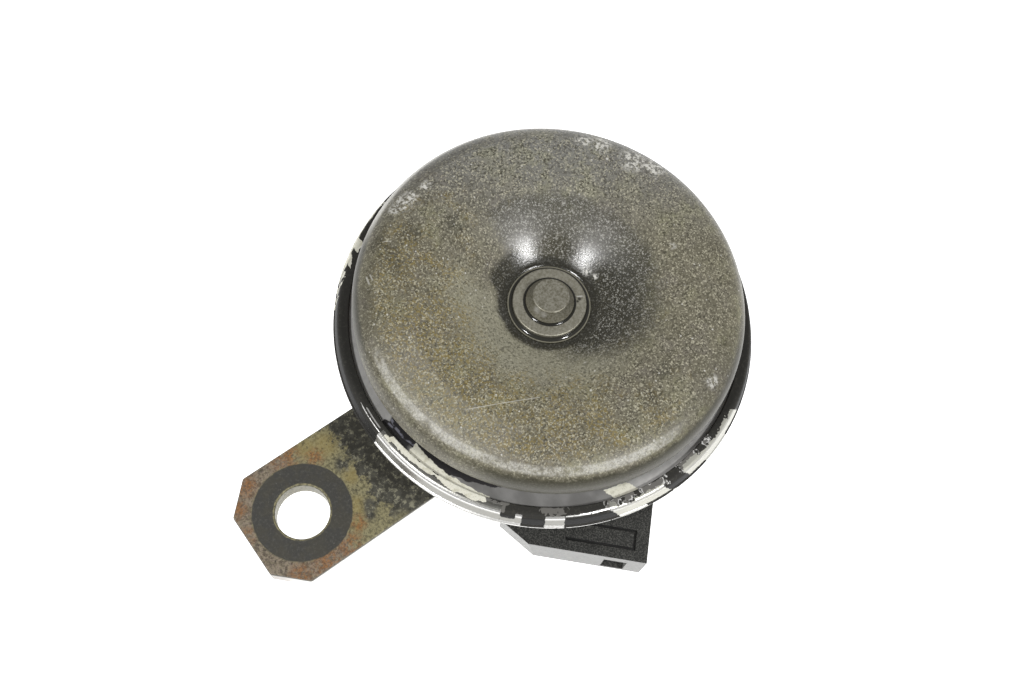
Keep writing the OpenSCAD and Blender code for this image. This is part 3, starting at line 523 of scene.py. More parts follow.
@dataclass(frozen=True)
class DiaphragmSteel:
    """Dull grey steel of the diaphragm, with old paint and two pale patches by the rim."""

    steel: Tones = (134, 133, 131)
    shade: Tones = (112, 111, 109)
    # pale tone laid on two sides: painted light
    pale: Tones = (206, 205, 202)
    paint: Tones = (52, 51, 52)
    crease: Tones = (150, 150, 162)
    primer: Tones = (232, 230, 214)
    stained: Tones = (186, 182, 160)
    front: float = 21.55

    def material(self) -> Material:
        """Clouded steel, paler on two sides as painted light, black paint on one, two patches of
        primer.

        Returns:
            The material.
        """
        g = Graph("diaphragm_steel")
        x, y, _ = g.axes((AXIS, 0, 0))
        r, turn = g.radius(x, y), g.turn(x, y)
        ragged = g.noise(1, 1, 2).span(-0.5, 0.5)
        out = r + ragged
        # two stretches of the rim drawn paler: painted light
        sides = turn.window(128, 179, 4) | turn.window(262, 330, 10)
        narrowing = (turn - 203 | 0) * 0.075
        paint = ((turn + ragged * 6).window(180, 219, 1)
                 * (turn.step(191, 189) | (out + narrowing).step(31, 30.85)))
        creases = g.streaks((17.3, 0.4, 17.5, -1.6, self.front, 0.22),
                            (18.2, 0.6, 17.9, -1.4, self.front, 0.3),
                            (17.8, -1.4, 18, -3.6, self.front, 0.3),
                            (17.8, -3.2, 18.7, -6, self.front, 0.24))
        creases = creases * paint * g.noise(0.7, 15, 3).step(0.40, 0.56)
        first = ((turn + ragged * 2).window(191, 217, 0.3)
                 * (out + (turn - 191) * -0.055).step(30.1, 30.2))
        second = ((turn + ragged * 3 + (r - 31) * -1.2).window(251.5, 258.5, 0.2)
                  * out.step(30.1, 30.2))
        dull = g.noise(0.6, 5, 4, 0.7).step(0.46, 0.64)
        primer = g.mix(dull * 0.6, self.primer, self.stained)
        colour = g.coats(self.steel, (g.noise(2.5, 2, 4).step(0.3, 0.7), self.shade),
                         (sides * g.noise(1.2, 4, 3).span(0.3, 1), self.pale),
                         (paint, self.paint), (creases * 0.8, self.crease),
                         (first | second, primer))
        return g.done(colour, paint.span(0.42, 0.25), 0, g.bump(g.noise(0.5, 3, 3), 0.012), 0.4)


@dataclass(frozen=True)
class StoveEnamel:
    """Satin black enamel on drawn steel, lightly orange-peeled and dusty."""

    enamel: Tones = (34, 34, 34)
    dust: Tones = (104, 98, 84)
    cover: float = 0.35
    gloss: float = 0.30

    def material(self) -> Material:
        """Enamel, a broken film of dust, and fine peel in the relief.

        Returns:
            The material.
        """
        g = Graph("casing_enamel")
        film = g.noise(4, 1, 4, 0.6).step(0.42, 0.68) * self.cover
        grains = g.noise(0.4, 2, 3, 0.65).step(0.54, 0.66) * self.cover
        dusty = film | grains
        return g.done(g.mix(dusty, self.enamel, self.dust), dusty.span(self.gloss, 0.65), 0,
                      g.bump(g.noise(0.7, 3, 2), 0.012))


@dataclass(frozen=True)
class ZincPlate:
    """Yellow-passivated zinc of the stay: a washer's mark and rust on it, and darker toward the
    horn.

    Each row of a table is a soft spot on the stay's top: its x, its y and its reach.
    """

    olive: Tones = (154, 147, 112)
    drab: Tones = (104, 99, 74)
    yellow: Tones = (152, 136, 84)
    grime: Tones = (66, 65, 58)
    brown: Tones = (124, 110, 100)
    umber: Tones = (76, 66, 56)
    tan: Tones = (156, 142, 126)
    rust: Tones = (152, 102, 50)
    scab: Tones = (98, 68, 40)
    bore: Tones = (124, 120, 96)
    bore_dark: Tones = (86, 82, 64)
    mark: Tones = (58, 57, 53)
    mark_fleck: Tones = (134, 132, 122)
    mark_grain: Tones = (92, 91, 84)
    mark_blot: Tones = (70, 66, 52)
    soil: Tones = (40, 39, 34)
    crumb: Tones = (146, 143, 122)
    edge: Tones = (206, 205, 200)
    brink: Tones = (74, 72, 62)
    top: float = 4.0
    yellow_at: Table = ((9.3, 7.5, 3.2), (6.4, 8.8, 2.6), (7.8, -4.4, 2.6), (9.9, 0.5, 2.2),
                        (6.2, -7, 1.8))
    pale_at: Table = ((8.5, -10.5, 4), (12.5, -11, 2.8))
    dark_at: Table = ((9.9, 3, 2.2), (9.6, -5.6, 2.2), (8.8, -6.9, 1.4))
    rust_at: Table = ((3.4, -9.2, 3.2), (-1.4, -9.4, 3.6), (-6, -8.6, 2.8), (-5.4, 9.4, 3.2),
                      (-8.6, 6.4, 2.6), (2.6, 9.7, 3.8), (6.6, 6.8, 2.4), (-9.6, 1.8, 2.2),
                      (6.4, -7, 2.2))

    def material(self) -> Material:
        """Olive zinc, then darker toward the horn, brown and rust at the end, the mark.

        Returns:
            The material.
        """
        g = Graph("zinc_plate")
        x, y, z = g.axes()
        r = g.radius(x, y)
        fine = g.noise(0.5, 1, 4, 0.65)
        blot = g.noise(2.4, 2, 4, 0.65)
        sway = blot.span(-5.5, 5.5) + g.noise(0.8, 8, 4, 0.65).span(-4, 4)
        yellow = g.spots(self.yellow_at, self.top)
        dark = (x + sway).step(10.4, 11.7) * ~(g.spots(self.pale_at, self.top) * 0.7)
        dark_near_horn = dark | g.spots(self.dark_at, self.top) * blot.step(0.38, 0.50)
        crumbs = g.noise(0.7, 3, 5, 0.75).step(0.52, 0.60) | g.flecks(0.7, 4, 0.2, 0.3) * 0.9
        black = g.noise(1.5, 10, 4, 0.65).step(0.46, 0.54)
        grime = g.coats(self.grime, (black, self.soil), (crumbs * ~(black * 0.5) * 0.9, self.crumb))
        brown = (x + sway * 0.4).step(4.6, 2) * r.step(8, 8.6)
        scale = g.coats(self.umber, (g.noise(0.45, 11, 4, 0.7).step(0.42, 0.58), self.tan),
                        (0.3, self.brown))
        specks = g.noise(0.55, 9, 4, 0.7).step(0.53, 0.62)
        rust = g.spots(self.rust_at, self.top) * g.noise(1.1, 5, 5, 0.7).step(0.36, 0.56)
        scab = g.mix(g.noise(0.4, 12, 4, 0.7).step(0.42, 0.58), self.scab, self.rust)
        ring = r + g.noise(0.9, 6, 3).span(-0.22, 0.22)
        mark = ring.step(8.4, 8.15) * ring.step(4.72, 4.95)
        stamped = g.coats(self.mark, (g.flecks(0.45, 7, 0.14, 0.3) * 0.45, self.mark_fleck),
                          (fine.step(0.48, 0.64) * 0.4, self.mark_grain),
                          (blot.step(0.42, 0.6) * 0.4, self.mark_blot))
        wall = g.upright().step(0.92, 0.7)
        # a dark band along the top of the walls: dirt, and painted shade on the rounded edge
        brink = (z + sway * 0.05).step(3.1, 3.75)
        end = x.step(-6.5, -8.6)
        hole = r.step(5.4, 5)
        rim = g.coats(self.edge, (end * 0.75, self.brown), (brink * 0.9, self.brink),
                      (hole, g.mix(fine.step(0.40, 0.6), self.bore, self.bore_dark)))
        colour = g.coats(self.olive, (fine.step(0.42, 0.62), self.drab),
                         (yellow * fine.span(0.2, 1), self.yellow), (dark_near_horn * 0.94, grime),
                         (brown * fine.span(0.3, 1.3), scale),
                         (specks * ~(dark_near_horn * 0.7) * 0.5, self.soil), (rust * 0.8, scab),
                         (mark, stamped), (wall, rim))
        dull = dark_near_horn | rust | mark
        metallic = wall * ~(hole | brink | end) * 0.8 | ~dull * 0.2
        relief = fine * 0.6 + rust * 0.4 + crumbs * 0.4
        return g.done(colour, g.blend(wall, dull.span(0.40, 0.62), 0.34), metallic,
                      g.bump(relief, 0.035))


@dataclass(frozen=True)
class TurnedSteel:
    """Bare turned steel of the washer and stud, gone brown, with a glossy dark ring of painted
    shade where they meet.
    """

    steel: Tones = (162, 159, 146)
    brown: Tones = (118, 114, 98)
    foot: Tones = (190, 187, 172)
    # near-white tone of the painted highlight on the stud's side
    rub: Tones = (226, 225, 222)
    # dark tone of the painted shade where stud meets washer, and of the nick
    lacquer: Tones = (34, 33, 28)
    glint: Tones = (226, 225, 220)

    def material(self) -> Material:
        """Steel with faint rings about the horn's axis, a nick, a glossy dark ring of painted shade
        at the joint and a painted highlight on the stud's side.

        Returns:
            The material.
        """
        g = Graph("turned_steel")
        x, y, z = g.axes((AXIS, 0, 0))
        r = g.radius(x, y)
        mottle = g.noise(0.3, 2, 4, 0.65)
        # dark glossy ring where stud meets washer: painted shade in the corner
        joint = r.window(3.72, 4.2, 0.1) * z.step(27.95, 27.8)
        # pale spots on the stud's side: a painted highlight
        rubbed = g.spots(((45.2, -0.5, 0.9), (45.5, -1.9, 0.9)), 29.3) * mottle.span(0.1, 0.8)
        nick = g.spots(((AXIS + 4.2, -2.3, 0.42), (AXIS + 3.7, -2.5, 0.3)), 27.5)
        glint = g.streaks((AXIS + 3.9, -1.6, AXIS + 5.1, -2.3, 27.5, 0.16))
        colour = g.coats(self.brown, (mottle.step(0.34, 0.66), self.steel),
                         (z.step(28.4, 27.7) * 0.15, self.foot), (rubbed, self.rub),
                         (joint | nick * 0.8, self.lacquer), (glint * 0.7, self.glint))
        rings = g.math("SINE", r * 30 + g.noise(1.2, 1) * 4)
        return g.done(colour, g.blend(joint | nick, mottle.span(0.36, 0.5), 0.12), ~joint * 0.6,
                      g.bump(rings * 0.08 + mottle, 0.018))


@dataclass(frozen=True)
class MouldedPlastic:
    """Fine-grained black moulding of the plug socket, paler on its walls as a painted reflection.
    """

    plastic: Tones = (34, 34, 33)
    grain: Tones = (106, 106, 101)
    # darker tone for the groove around the panel: painted shade
    deep: Tones = (18, 18, 17)
    # pale tone of the lint, and of the painted reflection on the walls
    dust: Tones = (150, 150, 147)
    top: float = 3.6

    def material(self) -> Material:
        """Grained plastic with lint on its faces and a pale film on its walls, which is a painted
        reflection.

        Returns:
            The material.
        """
        g = Graph("moulded_plastic")
        x, y, z = g.axes((AXIS, 0, 0))
        outward = (x + y) * 2 ** -0.5
        grain = g.noise(0.24, 1, 4, 0.75)
        wall = abs(g.upright()).step(0.8, 0.4)
        panel = outward.window(-31.9, -27.7, 0.1) * z.step(self.top - 0.6, self.top - 0.4)
        # the walls drawn paler: a painted reflection of the floor
        film = wall * ~panel * g.noise(0.5, 2, 3).span(0.2, 0.95)
        lint = g.flecks(0.5, 3, 0.08, 0.24) * 0.5
        # the groove around the panel drawn darker: painted shade
        deep = panel * z.step(self.top - 0.02, self.top - 0.1)
        colour = g.coats(self.plastic, (grain.step(0.46, 0.60) * 0.62, self.grain),
                         (deep, self.deep), (film | lint, self.dust))
        return g.done(colour, film.span(0.36, 0.5), 0, g.bump(grain, 0.03))


@dataclass(frozen=True)
class SmallPart:
    """Finish of a small piece: two tones in a cloudy mix, with a fine grain."""

    name: str
    light: Tones
    dark: Tones
    size: float = 1.0
    metallic: float = 0.0
    smooth: float = 0.35
    rough: float = 0.6
    relief: float = 0.01

    def material(self) -> Material:
        """The two tones, roughness that follows them, and the grain.

        Returns:
            The material.
        """
        g = Graph(self.name)
        mask = g.noise(self.size, 1, 4, 0.6).step(0.36, 0.64)
        normal = g.bump(g.noise(self.size * 0.3, 2, 3), self.relief)
        return g.done(g.mix(mask, self.light, self.dark), mask.span(self.smooth, self.rough),
                      self.metallic, normal)


class Slot(Enum):
    """The record's material slots, each with the finish of its pieces."""

    ZINC_PLATE = ZincPlate()
    BRIGHT_STEEL = SmallPart("bright_zinc", (168, 168, 164), (118, 116, 108), 1.2, 0.8, 0.3, 0.5)
    BLACK_ENAMEL = ChippedEnamel()
    DISC_ENAMEL = AgedEnamel()
    BARE_STEEL = TurnedSteel()
    SPRING_STEEL = DiaphragmSteel()
    SOFT_IRON = SmallPart("soft_iron", (140, 138, 134), (92, 88, 82), 1, 0.8, 0.35, 0.6)
    GASKET_FIBRE = SmallPart("oiled_fibre", (112, 84, 52), (76, 54, 34), 0.6, 0, 0.7, 0.9, 0.03)
    NYLON = SmallPart("natural_nylon", (216, 210, 192), (190, 182, 158), 3, 0, 0.4, 0.55)
    COPPER_WIRE = SmallPart("copper_turns", (176, 96, 54), (120, 58, 34), 0.4, 0.7, 0.3, 0.5)
    AMBER_TAPE = SmallPart("varnished_tape", (186, 140, 62), (146, 100, 42), 1.5, 0, 0.3, 0.5)
    PHENOLIC = SmallPart("brown_laminate", (110, 66, 38), (78, 44, 26), 0.5, 0, 0.45, 0.65)
    SPRING_BRONZE = SmallPart("bronze_strip", (188, 146, 86), (140, 100, 56), 1.4, 0.85, 0.25, 0.45)
    CONTACT_ALLOY = SmallPart("contact_faces", (176, 176, 178), (120, 120, 124), 0.4, 0.9, 0.3, 0.5)
    TURNED_BRASS = SmallPart("dull_brass", (180, 146, 82), (120, 92, 52), 0.9, 0.85, 0.3, 0.55)
    SOCKET_PLASTIC = MouldedPlastic()
    BLACK_RUBBER = SmallPart("sheet_rubber", (40, 40, 40), (30, 29, 28), 0.8, 0, 0.6, 0.85, 0.03)
    TINNED_BRASS = SmallPart("tinned_strip", (186, 180, 160), (134, 124, 100), 0.9, 0.85, 0.28, 0.5)
    CERAMIC = SmallPart("glazed_ceramic", (220, 214, 196), (196, 188, 166), 2, 0, 0.12, 0.25)
    RED_LEAD = SmallPart("red_sleeve", (140, 34, 28), (104, 24, 20), 1, 0, 0.3, 0.5)
    BLUE_LEAD = SmallPart("blue_sleeve", (36, 52, 128), (26, 36, 92), 1, 0, 0.3, 0.5)


def grid_faces(rows: int, columns: int, wrap_rows: bool) -> np.ndarray:
    """Quads between neighbouring points of a grid whose last column joins its first.

    Args:
        rows: number of points along the first parameter.
        columns: number of points along the second parameter.
        wrap_rows: joins the last row to the first.

    Returns:
        Four point numbers for each quad; point (i, j) has number i * columns + j.
    """
    i, j = np.meshgrid(np.arange(rows if wrap_rows else rows - 1), np.arange(columns),
                       indexing="ij")
    k, m = (i + 1) % rows, (j + 1) % columns
    corners = [i * columns + j, k * columns + j, k * columns + m, i * columns + m]
    return np.stack(corners, -1).reshape(-1, 4)


def linked(name: str, data: bpy.types.ID) -> Piece:
    """A new object in the scene around its data.

    Args:
        name: the object's name.
        data: its mesh, light or camera.

    Returns:
        The object.
    """
    made = bpy.data.objects.new(name, data)
    bpy.context.scene.collection.objects.link(made)
    return made


def shaded(name: str, shell: bmesh.types.BMesh) -> Piece:
    """A piece from a worked shell, shaded smooth but for its sharp edges.

    Args:
        name: the piece's name.
        shell: the shell, which is used up.

    Returns:
        The object, at the origin.
    """
    mesh = bpy.data.meshes.new(name)
    shell.to_mesh(mesh)
    shell.free()
    mesh.shade_smooth()
    mesh.set_sharp_from_angle(angle=SHARP)
    return linked(name, mesh)


def mesh_object(name: str, points: np.ndarray, faces: np.ndarray) -> Piece:
    """A closed mesh from points in millimetres, merged, turned outward and shaded.

    Args:
        name: the piece's name.
        points: an array whose last axis holds x, y and z.
        faces: point numbers of each face.

    Returns:
        The object, at the origin.
    """
    loose = bpy.data.meshes.new(name + "_loose")
    loose.from_pydata((points.reshape(-1, 3) * MM).tolist(), [], faces.tolist())
    shell = bmesh.new()
    shell.from_mesh(loose)
    bpy.data.meshes.remove(loose)
    bmesh.ops.remove_doubles(shell, verts=shell.verts, dist=1e-7)
    bmesh.ops.dissolve_degenerate(shell, dist=1e-8, edges=shell.edges)
    bmesh.ops.recalc_face_normals(shell, faces=shell.faces)
    return shaded(name, shell)


def rounded(corners: np.ndarray, radii: Sequence[float], steps: int = 5) -> np.ndarray:
    """Closed profile whose corners are rounded.

    Corner P between sides that start at S and end at E becomes the curve
    (1 - t)^2 S + 2 t (1 - t) P + t^2 E, where S and E lie on the two sides, a radius
    from P but never past 0.48 of a side.

    Args:
        corners: the profile's corners, one row each.
        radii: one radius for each corner.
        steps: number of stretches in each curve.

    Returns:
        The rounded profile, one row a point.
    """
    reach = np.asarray(radii, float)[:, None]

    def shoulder(other: np.ndarray) -> np.ndarray:
        """Point on the way to the other corner at which the curve starts."""
        side = other - corners
        length = np.linalg.norm(side, axis=1, keepdims=True)
        return corners + side / length * np.minimum(reach, 0.48 * length)

    start = shoulder(np.roll(corners, 1, axis=0))[:, None, :]
    end = shoulder(np.roll(corners, -1, axis=0))[:, None, :]
    t = np.linspace(0.0, 1.0, steps + 1)[None, :, None]
    curve = (1 - t) ** 2 * start + 2 * t * (1 - t) * corners[:, None, :] + t ** 2 * end
    return curve.reshape(-1, corners.shape[1])


def densified(profile: np.ndarray, spacing: float) -> np.ndarray:
    """Closed profile with points added so that none are further apart than the spacing.

    Each coordinate is read off straight lines at the old points' arc lengths and at
    every multiple of the spacing.

    Args:
        profile: the points, one row each.
        spacing: the greatest distance between neighbours.

    Returns:
        The denser profile.
    """
    ring = np.vstack([profile, profile[:1]])
    length = np.concatenate([[0.0], np.cumsum(np.linalg.norm(np.diff(ring, axis=0), axis=1))])
    keep = np.concatenate([[True], np.diff(length) > 1e-6])
    ring, length = ring[keep], length[keep]
    at = np.union1d(length, np.arange(0.0, length[-1], spacing))[:-1]
    at = at[np.concatenate([[True], np.diff(at) > 1e-3])]
    return np.stack([np.interp(at, length, ring[:, k]) for k in range(ring.shape[1])], 1)


def revolved(name: str, profile: np.ndarray, segments: int,
             sway: Optional[Callable[[np.ndarray, np.ndarray], np.ndarray]] = None) -> Piece:
    """Surface of revolution of a closed profile about the horn's axis.

    A profile point (r, z) at angle t lands on (AXIS + r cos t, r sin t, z).

    Args:
        name: the piece's name.
        profile: rows of radius and height.
        segments: number of steps in a turn.
        sway: extra height for each angle and profile point, for an uneven surface.

    Returns:
        The object.
    """
    turn = np.linspace(0.0, FULL_TURN, segments, endpoint=False)[:, None]
    r = np.broadcast_to(profile[None, :, 0], (segments, len(profile)))
    z = np.broadcast_to(profile[None, :, 1], r.shape)
    if sway is not None:
        z = z + sway(turn, r)
    points = np.stack([AXIS + r * np.cos(turn), r * np.sin(turn), z], -1)
    return mesh_object(name, points, grid_faces(segments, len(profile), True))


def bevelled(node: str, name: str, width: float, segments: int = 3) -> Piece:
    """A merged copy of a CAD node with its sharp edges rounded by a modifier.

    Args:
        node: the CAD node.
        name: the piece's name.
        width: width of the rounding.
        segments: number of faces across it.

    Returns:
        The object, at the origin.
    """
    shell = bmesh.new()
    shell.from_mesh(frame["nodes"][node].data)
    bmesh.ops.remove_doubles(shell, verts=shell.verts, dist=1e-6)
    bmesh.ops.dissolve_limit(shell, angle_limit=math.radians(0.5), verts=shell.verts,
                             edges=shell.edges)
    piece = shaded(name, shell)
    edge = piece.modifiers.new("rounding", "BEVEL")
    edge.width = width * MM
    edge.segments = segments
    edge.limit_method = "ANGLE"
    edge.angle_limit = SHARP
    edge.harden_normals = True
    return piece


class Dresser:
    """Gives pieces the material of their node's slot and their body, and hides the node they stand
    for.
    """

    def __init__(self) -> None:
        """Makes the materials and keeps the record's slot and body of each node."""
        self.materials = {slot: slot.value.material() for slot in Slot}
        rows = frame["record"]["subparts"]
        self.slots = {row["node"]: Slot[row["material_slot"].upper()] for row in rows}
        groups = frame["record"]["behaviour"]["bodies"]
        self.bodies = {node: body for body, nodes in groups.items() for node in nodes}

    def coat(self, piece: Piece, node: str, material: Optional[Material] = None) -> None:
        """Gives a piece a material, or else that of a node's slot.

        Args:
            piece: the piece.
            node: the node whose slot it is.
            material: a finish other than the slot's own.
        """
        slot = self.slots[node]
        piece.data.materials.clear()
        piece.data.materials.append(material or self.materials[slot])

    def dress(self, piece: Piece, node: str, material: Optional[Material] = None,
              rides: bool = True) -> None:
        """Lets a piece stand for a node, with that node's slot and body.

        Args:
            piece: the finished piece.
            node: the CAD node that it replaces.
            material: a finish other than the slot's own.
            rides: False for a piece that is left on no body.
        """
        self.coat(piece, node, material)
        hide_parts(node)
        if rides:
            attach(piece, self.bodies[node])
        LOG.info("%s stands for %s on %s", piece.name, node, self.bodies[node])

    def cover(self, node: str) -> None:
        """Gives a CAD node that stays in sight its slot's material."""
        self.coat(frame["nodes"][node], node)
        LOG.info("%s keeps its solid", node)


@dataclass
class ToneDisc:
    """The pressed disc on the stud: a hollow, a round crest and a turned-in edge."""

    rise: float = 5.8
    flat_r: float = 6.5
    crater_r: float = 22.0
    crest_r: float = 24.1
    edge_r: float = 31.1
    shoulder_h: float = 4.6
    lip_turn: float = 12.0
    hollow_power: float = 0.7
    shoulder_power: float = 2.4
    sheet: float = 1.0
    fillet_h: float = 0.42
    fillet_w: float = 0.3
    step_r: float = 6.95
    step_h: float = 0.1
    step_w: float = 0.2
    segments: int = 288

    def face(self, drop: float) -> np.ndarray:
        """Profile of one face, from the hole to the lip.

        The hollow is z = hub + rise (1 - cos(pi t^p)) / 2 with t = (r - flat) / (crater - flat),
        and the front has a fillet of lacquer, h exp(-(r - washer) / w), and a low step too.
        The shoulder is r = crest + w cos(a)^(2/n), z = equator + h sin(a)^(2/n) down to its
        widest point, and an ellipse past it.

        Args:
            drop: distance of this face behind the front one.

        Returns:
            Rows of radius and height.
        """
        r = np.concatenate([np.linspace(STUD_BORE, WASHER_R - 0.02, 6),
                            np.linspace(WASHER_R, self.flat_r + 1.0, 40),
                            np.linspace(self.flat_r + 1.2, self.crater_r, 44)])
        t = np.clip((r - self.flat_r) / (self.crater_r - self.flat_r), 0.0, 1.0)
        t = t ** self.hollow_power
        z = HUB_Z - drop + self.rise * (1 - np.cos(math.pi * t)) / 2
        if drop == 0.0:
            past = r - WASHER_R
            z = z + np.where(past < 0, 0.0, self.fillet_h * np.exp(-past / self.fillet_w))
            z = z + self.step_h * np.exp(-((r - self.step_r) / self.step_w) ** 2)
        a = np.radians(np.linspace(90.0, -self.lip_turn, 52))
        bend = np.where(a > 0, 2.0 / self.shoulder_power, 1.0)
        across = (self.edge_r - self.crest_r - drop) * np.cos(a) ** bend
        along = (self.shoulder_h - drop) * np.sign(a) * np.abs(np.sin(a)) ** bend
        equator = HUB_Z + self.rise - self.shoulder_h
        shoulder = np.stack([self.crest_r + across, equator + along], 1)
        return np.vstack([np.stack([r, z], 1), shoulder])

    def sway(self, turn: np.ndarray, r: np.ndarray) -> np.ndarray:
        """Drop of up to 0.1 mm that grows with the radius: a saddle and a ripple."""
        far = np.clip((r - 10.0) / 20.0, 0.0, 1.0) ** 2
        return far * (0.035 * np.cos(2 * turn + 0.7) + 0.015 * np.cos(5 * turn) - 0.05)

    def build(self, dresser: Dresser) -> None:
        """Makes the disc, very slightly uneven as pressed sheet is.

        Args:
            dresser: gives the pieces their finish and body.
        """
        profile = np.vstack([self.face(0.0), self.face(self.sheet)[::-1]])
        disc = revolved("tone_disc_skin", profile, self.segments, self.sway)
        dresser.dress(disc, "tone_disc")


@dataclass
class Diaphragm:
    """The thin steel plate behind the disc, in sectors."""

    bead_r: float = 25.0
    bead_w: float = 5.0
    bead_h: float = 0.6
    clamped_r: float = 30.0
    outer_r: float = 32.95
    low: float = 21.2
    thickness: float = 0.35
    still_r: float = 24.5
    free_r: float = 6.5
    sectors: int = 12
    steps: int = 14

    def sector(self, number: int) -> Piece:
        """One closed sector of the plate.

        Both faces lie at z = low + h (1 + cos(2 pi (r - bead) / w)) / 2 within half a
        width of the bead and at z = low elsewhere, the front one a thickness higher.

        Args:
            number: which sector, counted from azimuth 0.

        Returns:
            The object.
        """
        inner, outer = self.bead_r - self.bead_w / 2, self.bead_r + self.bead_w / 2
        r = np.concatenate([np.linspace(STUD_BORE, inner, 20)[:-1],
                            np.linspace(inner, outer, 17), [self.clamped_r, self.outer_r]])
        off = np.clip(np.abs(r - self.bead_r) / self.bead_w, 0.0, 0.5)
        z = self.low + self.bead_h * (1 + np.cos(FULL_TURN * off)) / 2
        turn = (number + np.linspace(0.0, 1.0, self.steps + 1)[:, None]) * FULL_TURN / self.sectors
        across = np.concatenate([r, r[::-1]])[None, :]
        height = np.concatenate([z, z[::-1] + self.thickness])[None, :]
        points = np.stack([AXIS + across * np.cos(turn), across * np.sin(turn),
                           height + 0.0 * turn], -1)
        around = grid_faces(self.steps + 1, across.size, False)
        i = np.arange(len(r) - 1)
        cap = np.stack([i, i + 1, across.size - 2 - i, across.size - 1 - i], 1)
        faces = np.vstack([around, cap, cap + self.steps * across.size])
        return mesh_object(f"diaphragm_sector_{number + 1}", points, faces)

    def build(self, dresser: Dresser) -> None:
        """Makes the sectors and leaves them on no body.

        Args:
            dresser: gives the pieces their finish and body.
        """
        for number in range(self.sectors):
            piece = self.sector(number)
            dresser.dress(piece, "diaphragm", rides=False)
            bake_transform(piece)


@dataclass
class Hub:
    """Front washer and the tapered head of the stud, which flares at its foot."""

    washer_top: float = 27.5
    foot_z: float = 16.2
    stud_r: float = 3.0
    head_r: float = 3.95
    top_r: float = 2.75
    head_top: float = 29.9
    inset: float = 0.12
    fillet: float = 0.4
    fillet_w: float = 0.1

    def build(self, dresser: Dresser) -> None:
        """Makes both turned pieces with softened edges.

        Args:
            dresser: gives the pieces their finish and body.
        """
        ring = np.array([[STUD_BORE, HUB_Z], [WASHER_R, HUB_Z], [WASHER_R, self.washer_top],
                         [STUD_BORE, self.washer_top]])
        washer = densified(rounded(ring, [0.05, 0.1, 0.24, 0.05]), 0.3)
        dresser.dress(revolved("front_washer_turned", washer, 192), "front_washer")
        rise = np.linspace(0.0, self.fillet, 9)
        flare = self.fillet * np.exp(-rise / self.fillet_w)
        fillet = np.stack([self.head_r - self.inset + flare, self.washer_top + rise], 1)
        body = np.vstack([[[0.0, self.foot_z], [self.stud_r, self.foot_z],
                           [self.stud_r, self.washer_top]], fillet,
                          [[self.top_r + self.inset, self.head_top], [0.0, self.head_top]]])
        radii = [0.0, 0.2, 0.02] + [0.01] * len(fillet) + [0.16, 0.0]
        stud = densified(rounded(body, radii), 0.2)
        dresser.dress(revolved("centre_stud_turned", stud, 160), "centre_stud")


class Loss(Enum):
    """What shows where the rim's enamel is gone, by the attribute that carries it."""

    BARE = "bare"
    CREAM = "cream"
    WORN = "worn"
    LINE = "line"


@dataclass(frozen=True)
class Chip:
    """A place on the rim where the enamel is gone.

    Angles are in degrees about the horn's axis. The place across the rim counts from the
    front fold: below zero inward over the flat lip, above zero down the wall. The lean is
    how many degrees the two ends drift for each millimetre across.
    """

    start: float
    end: float
    inner: float
    outer: float
    lean: float = 0.0


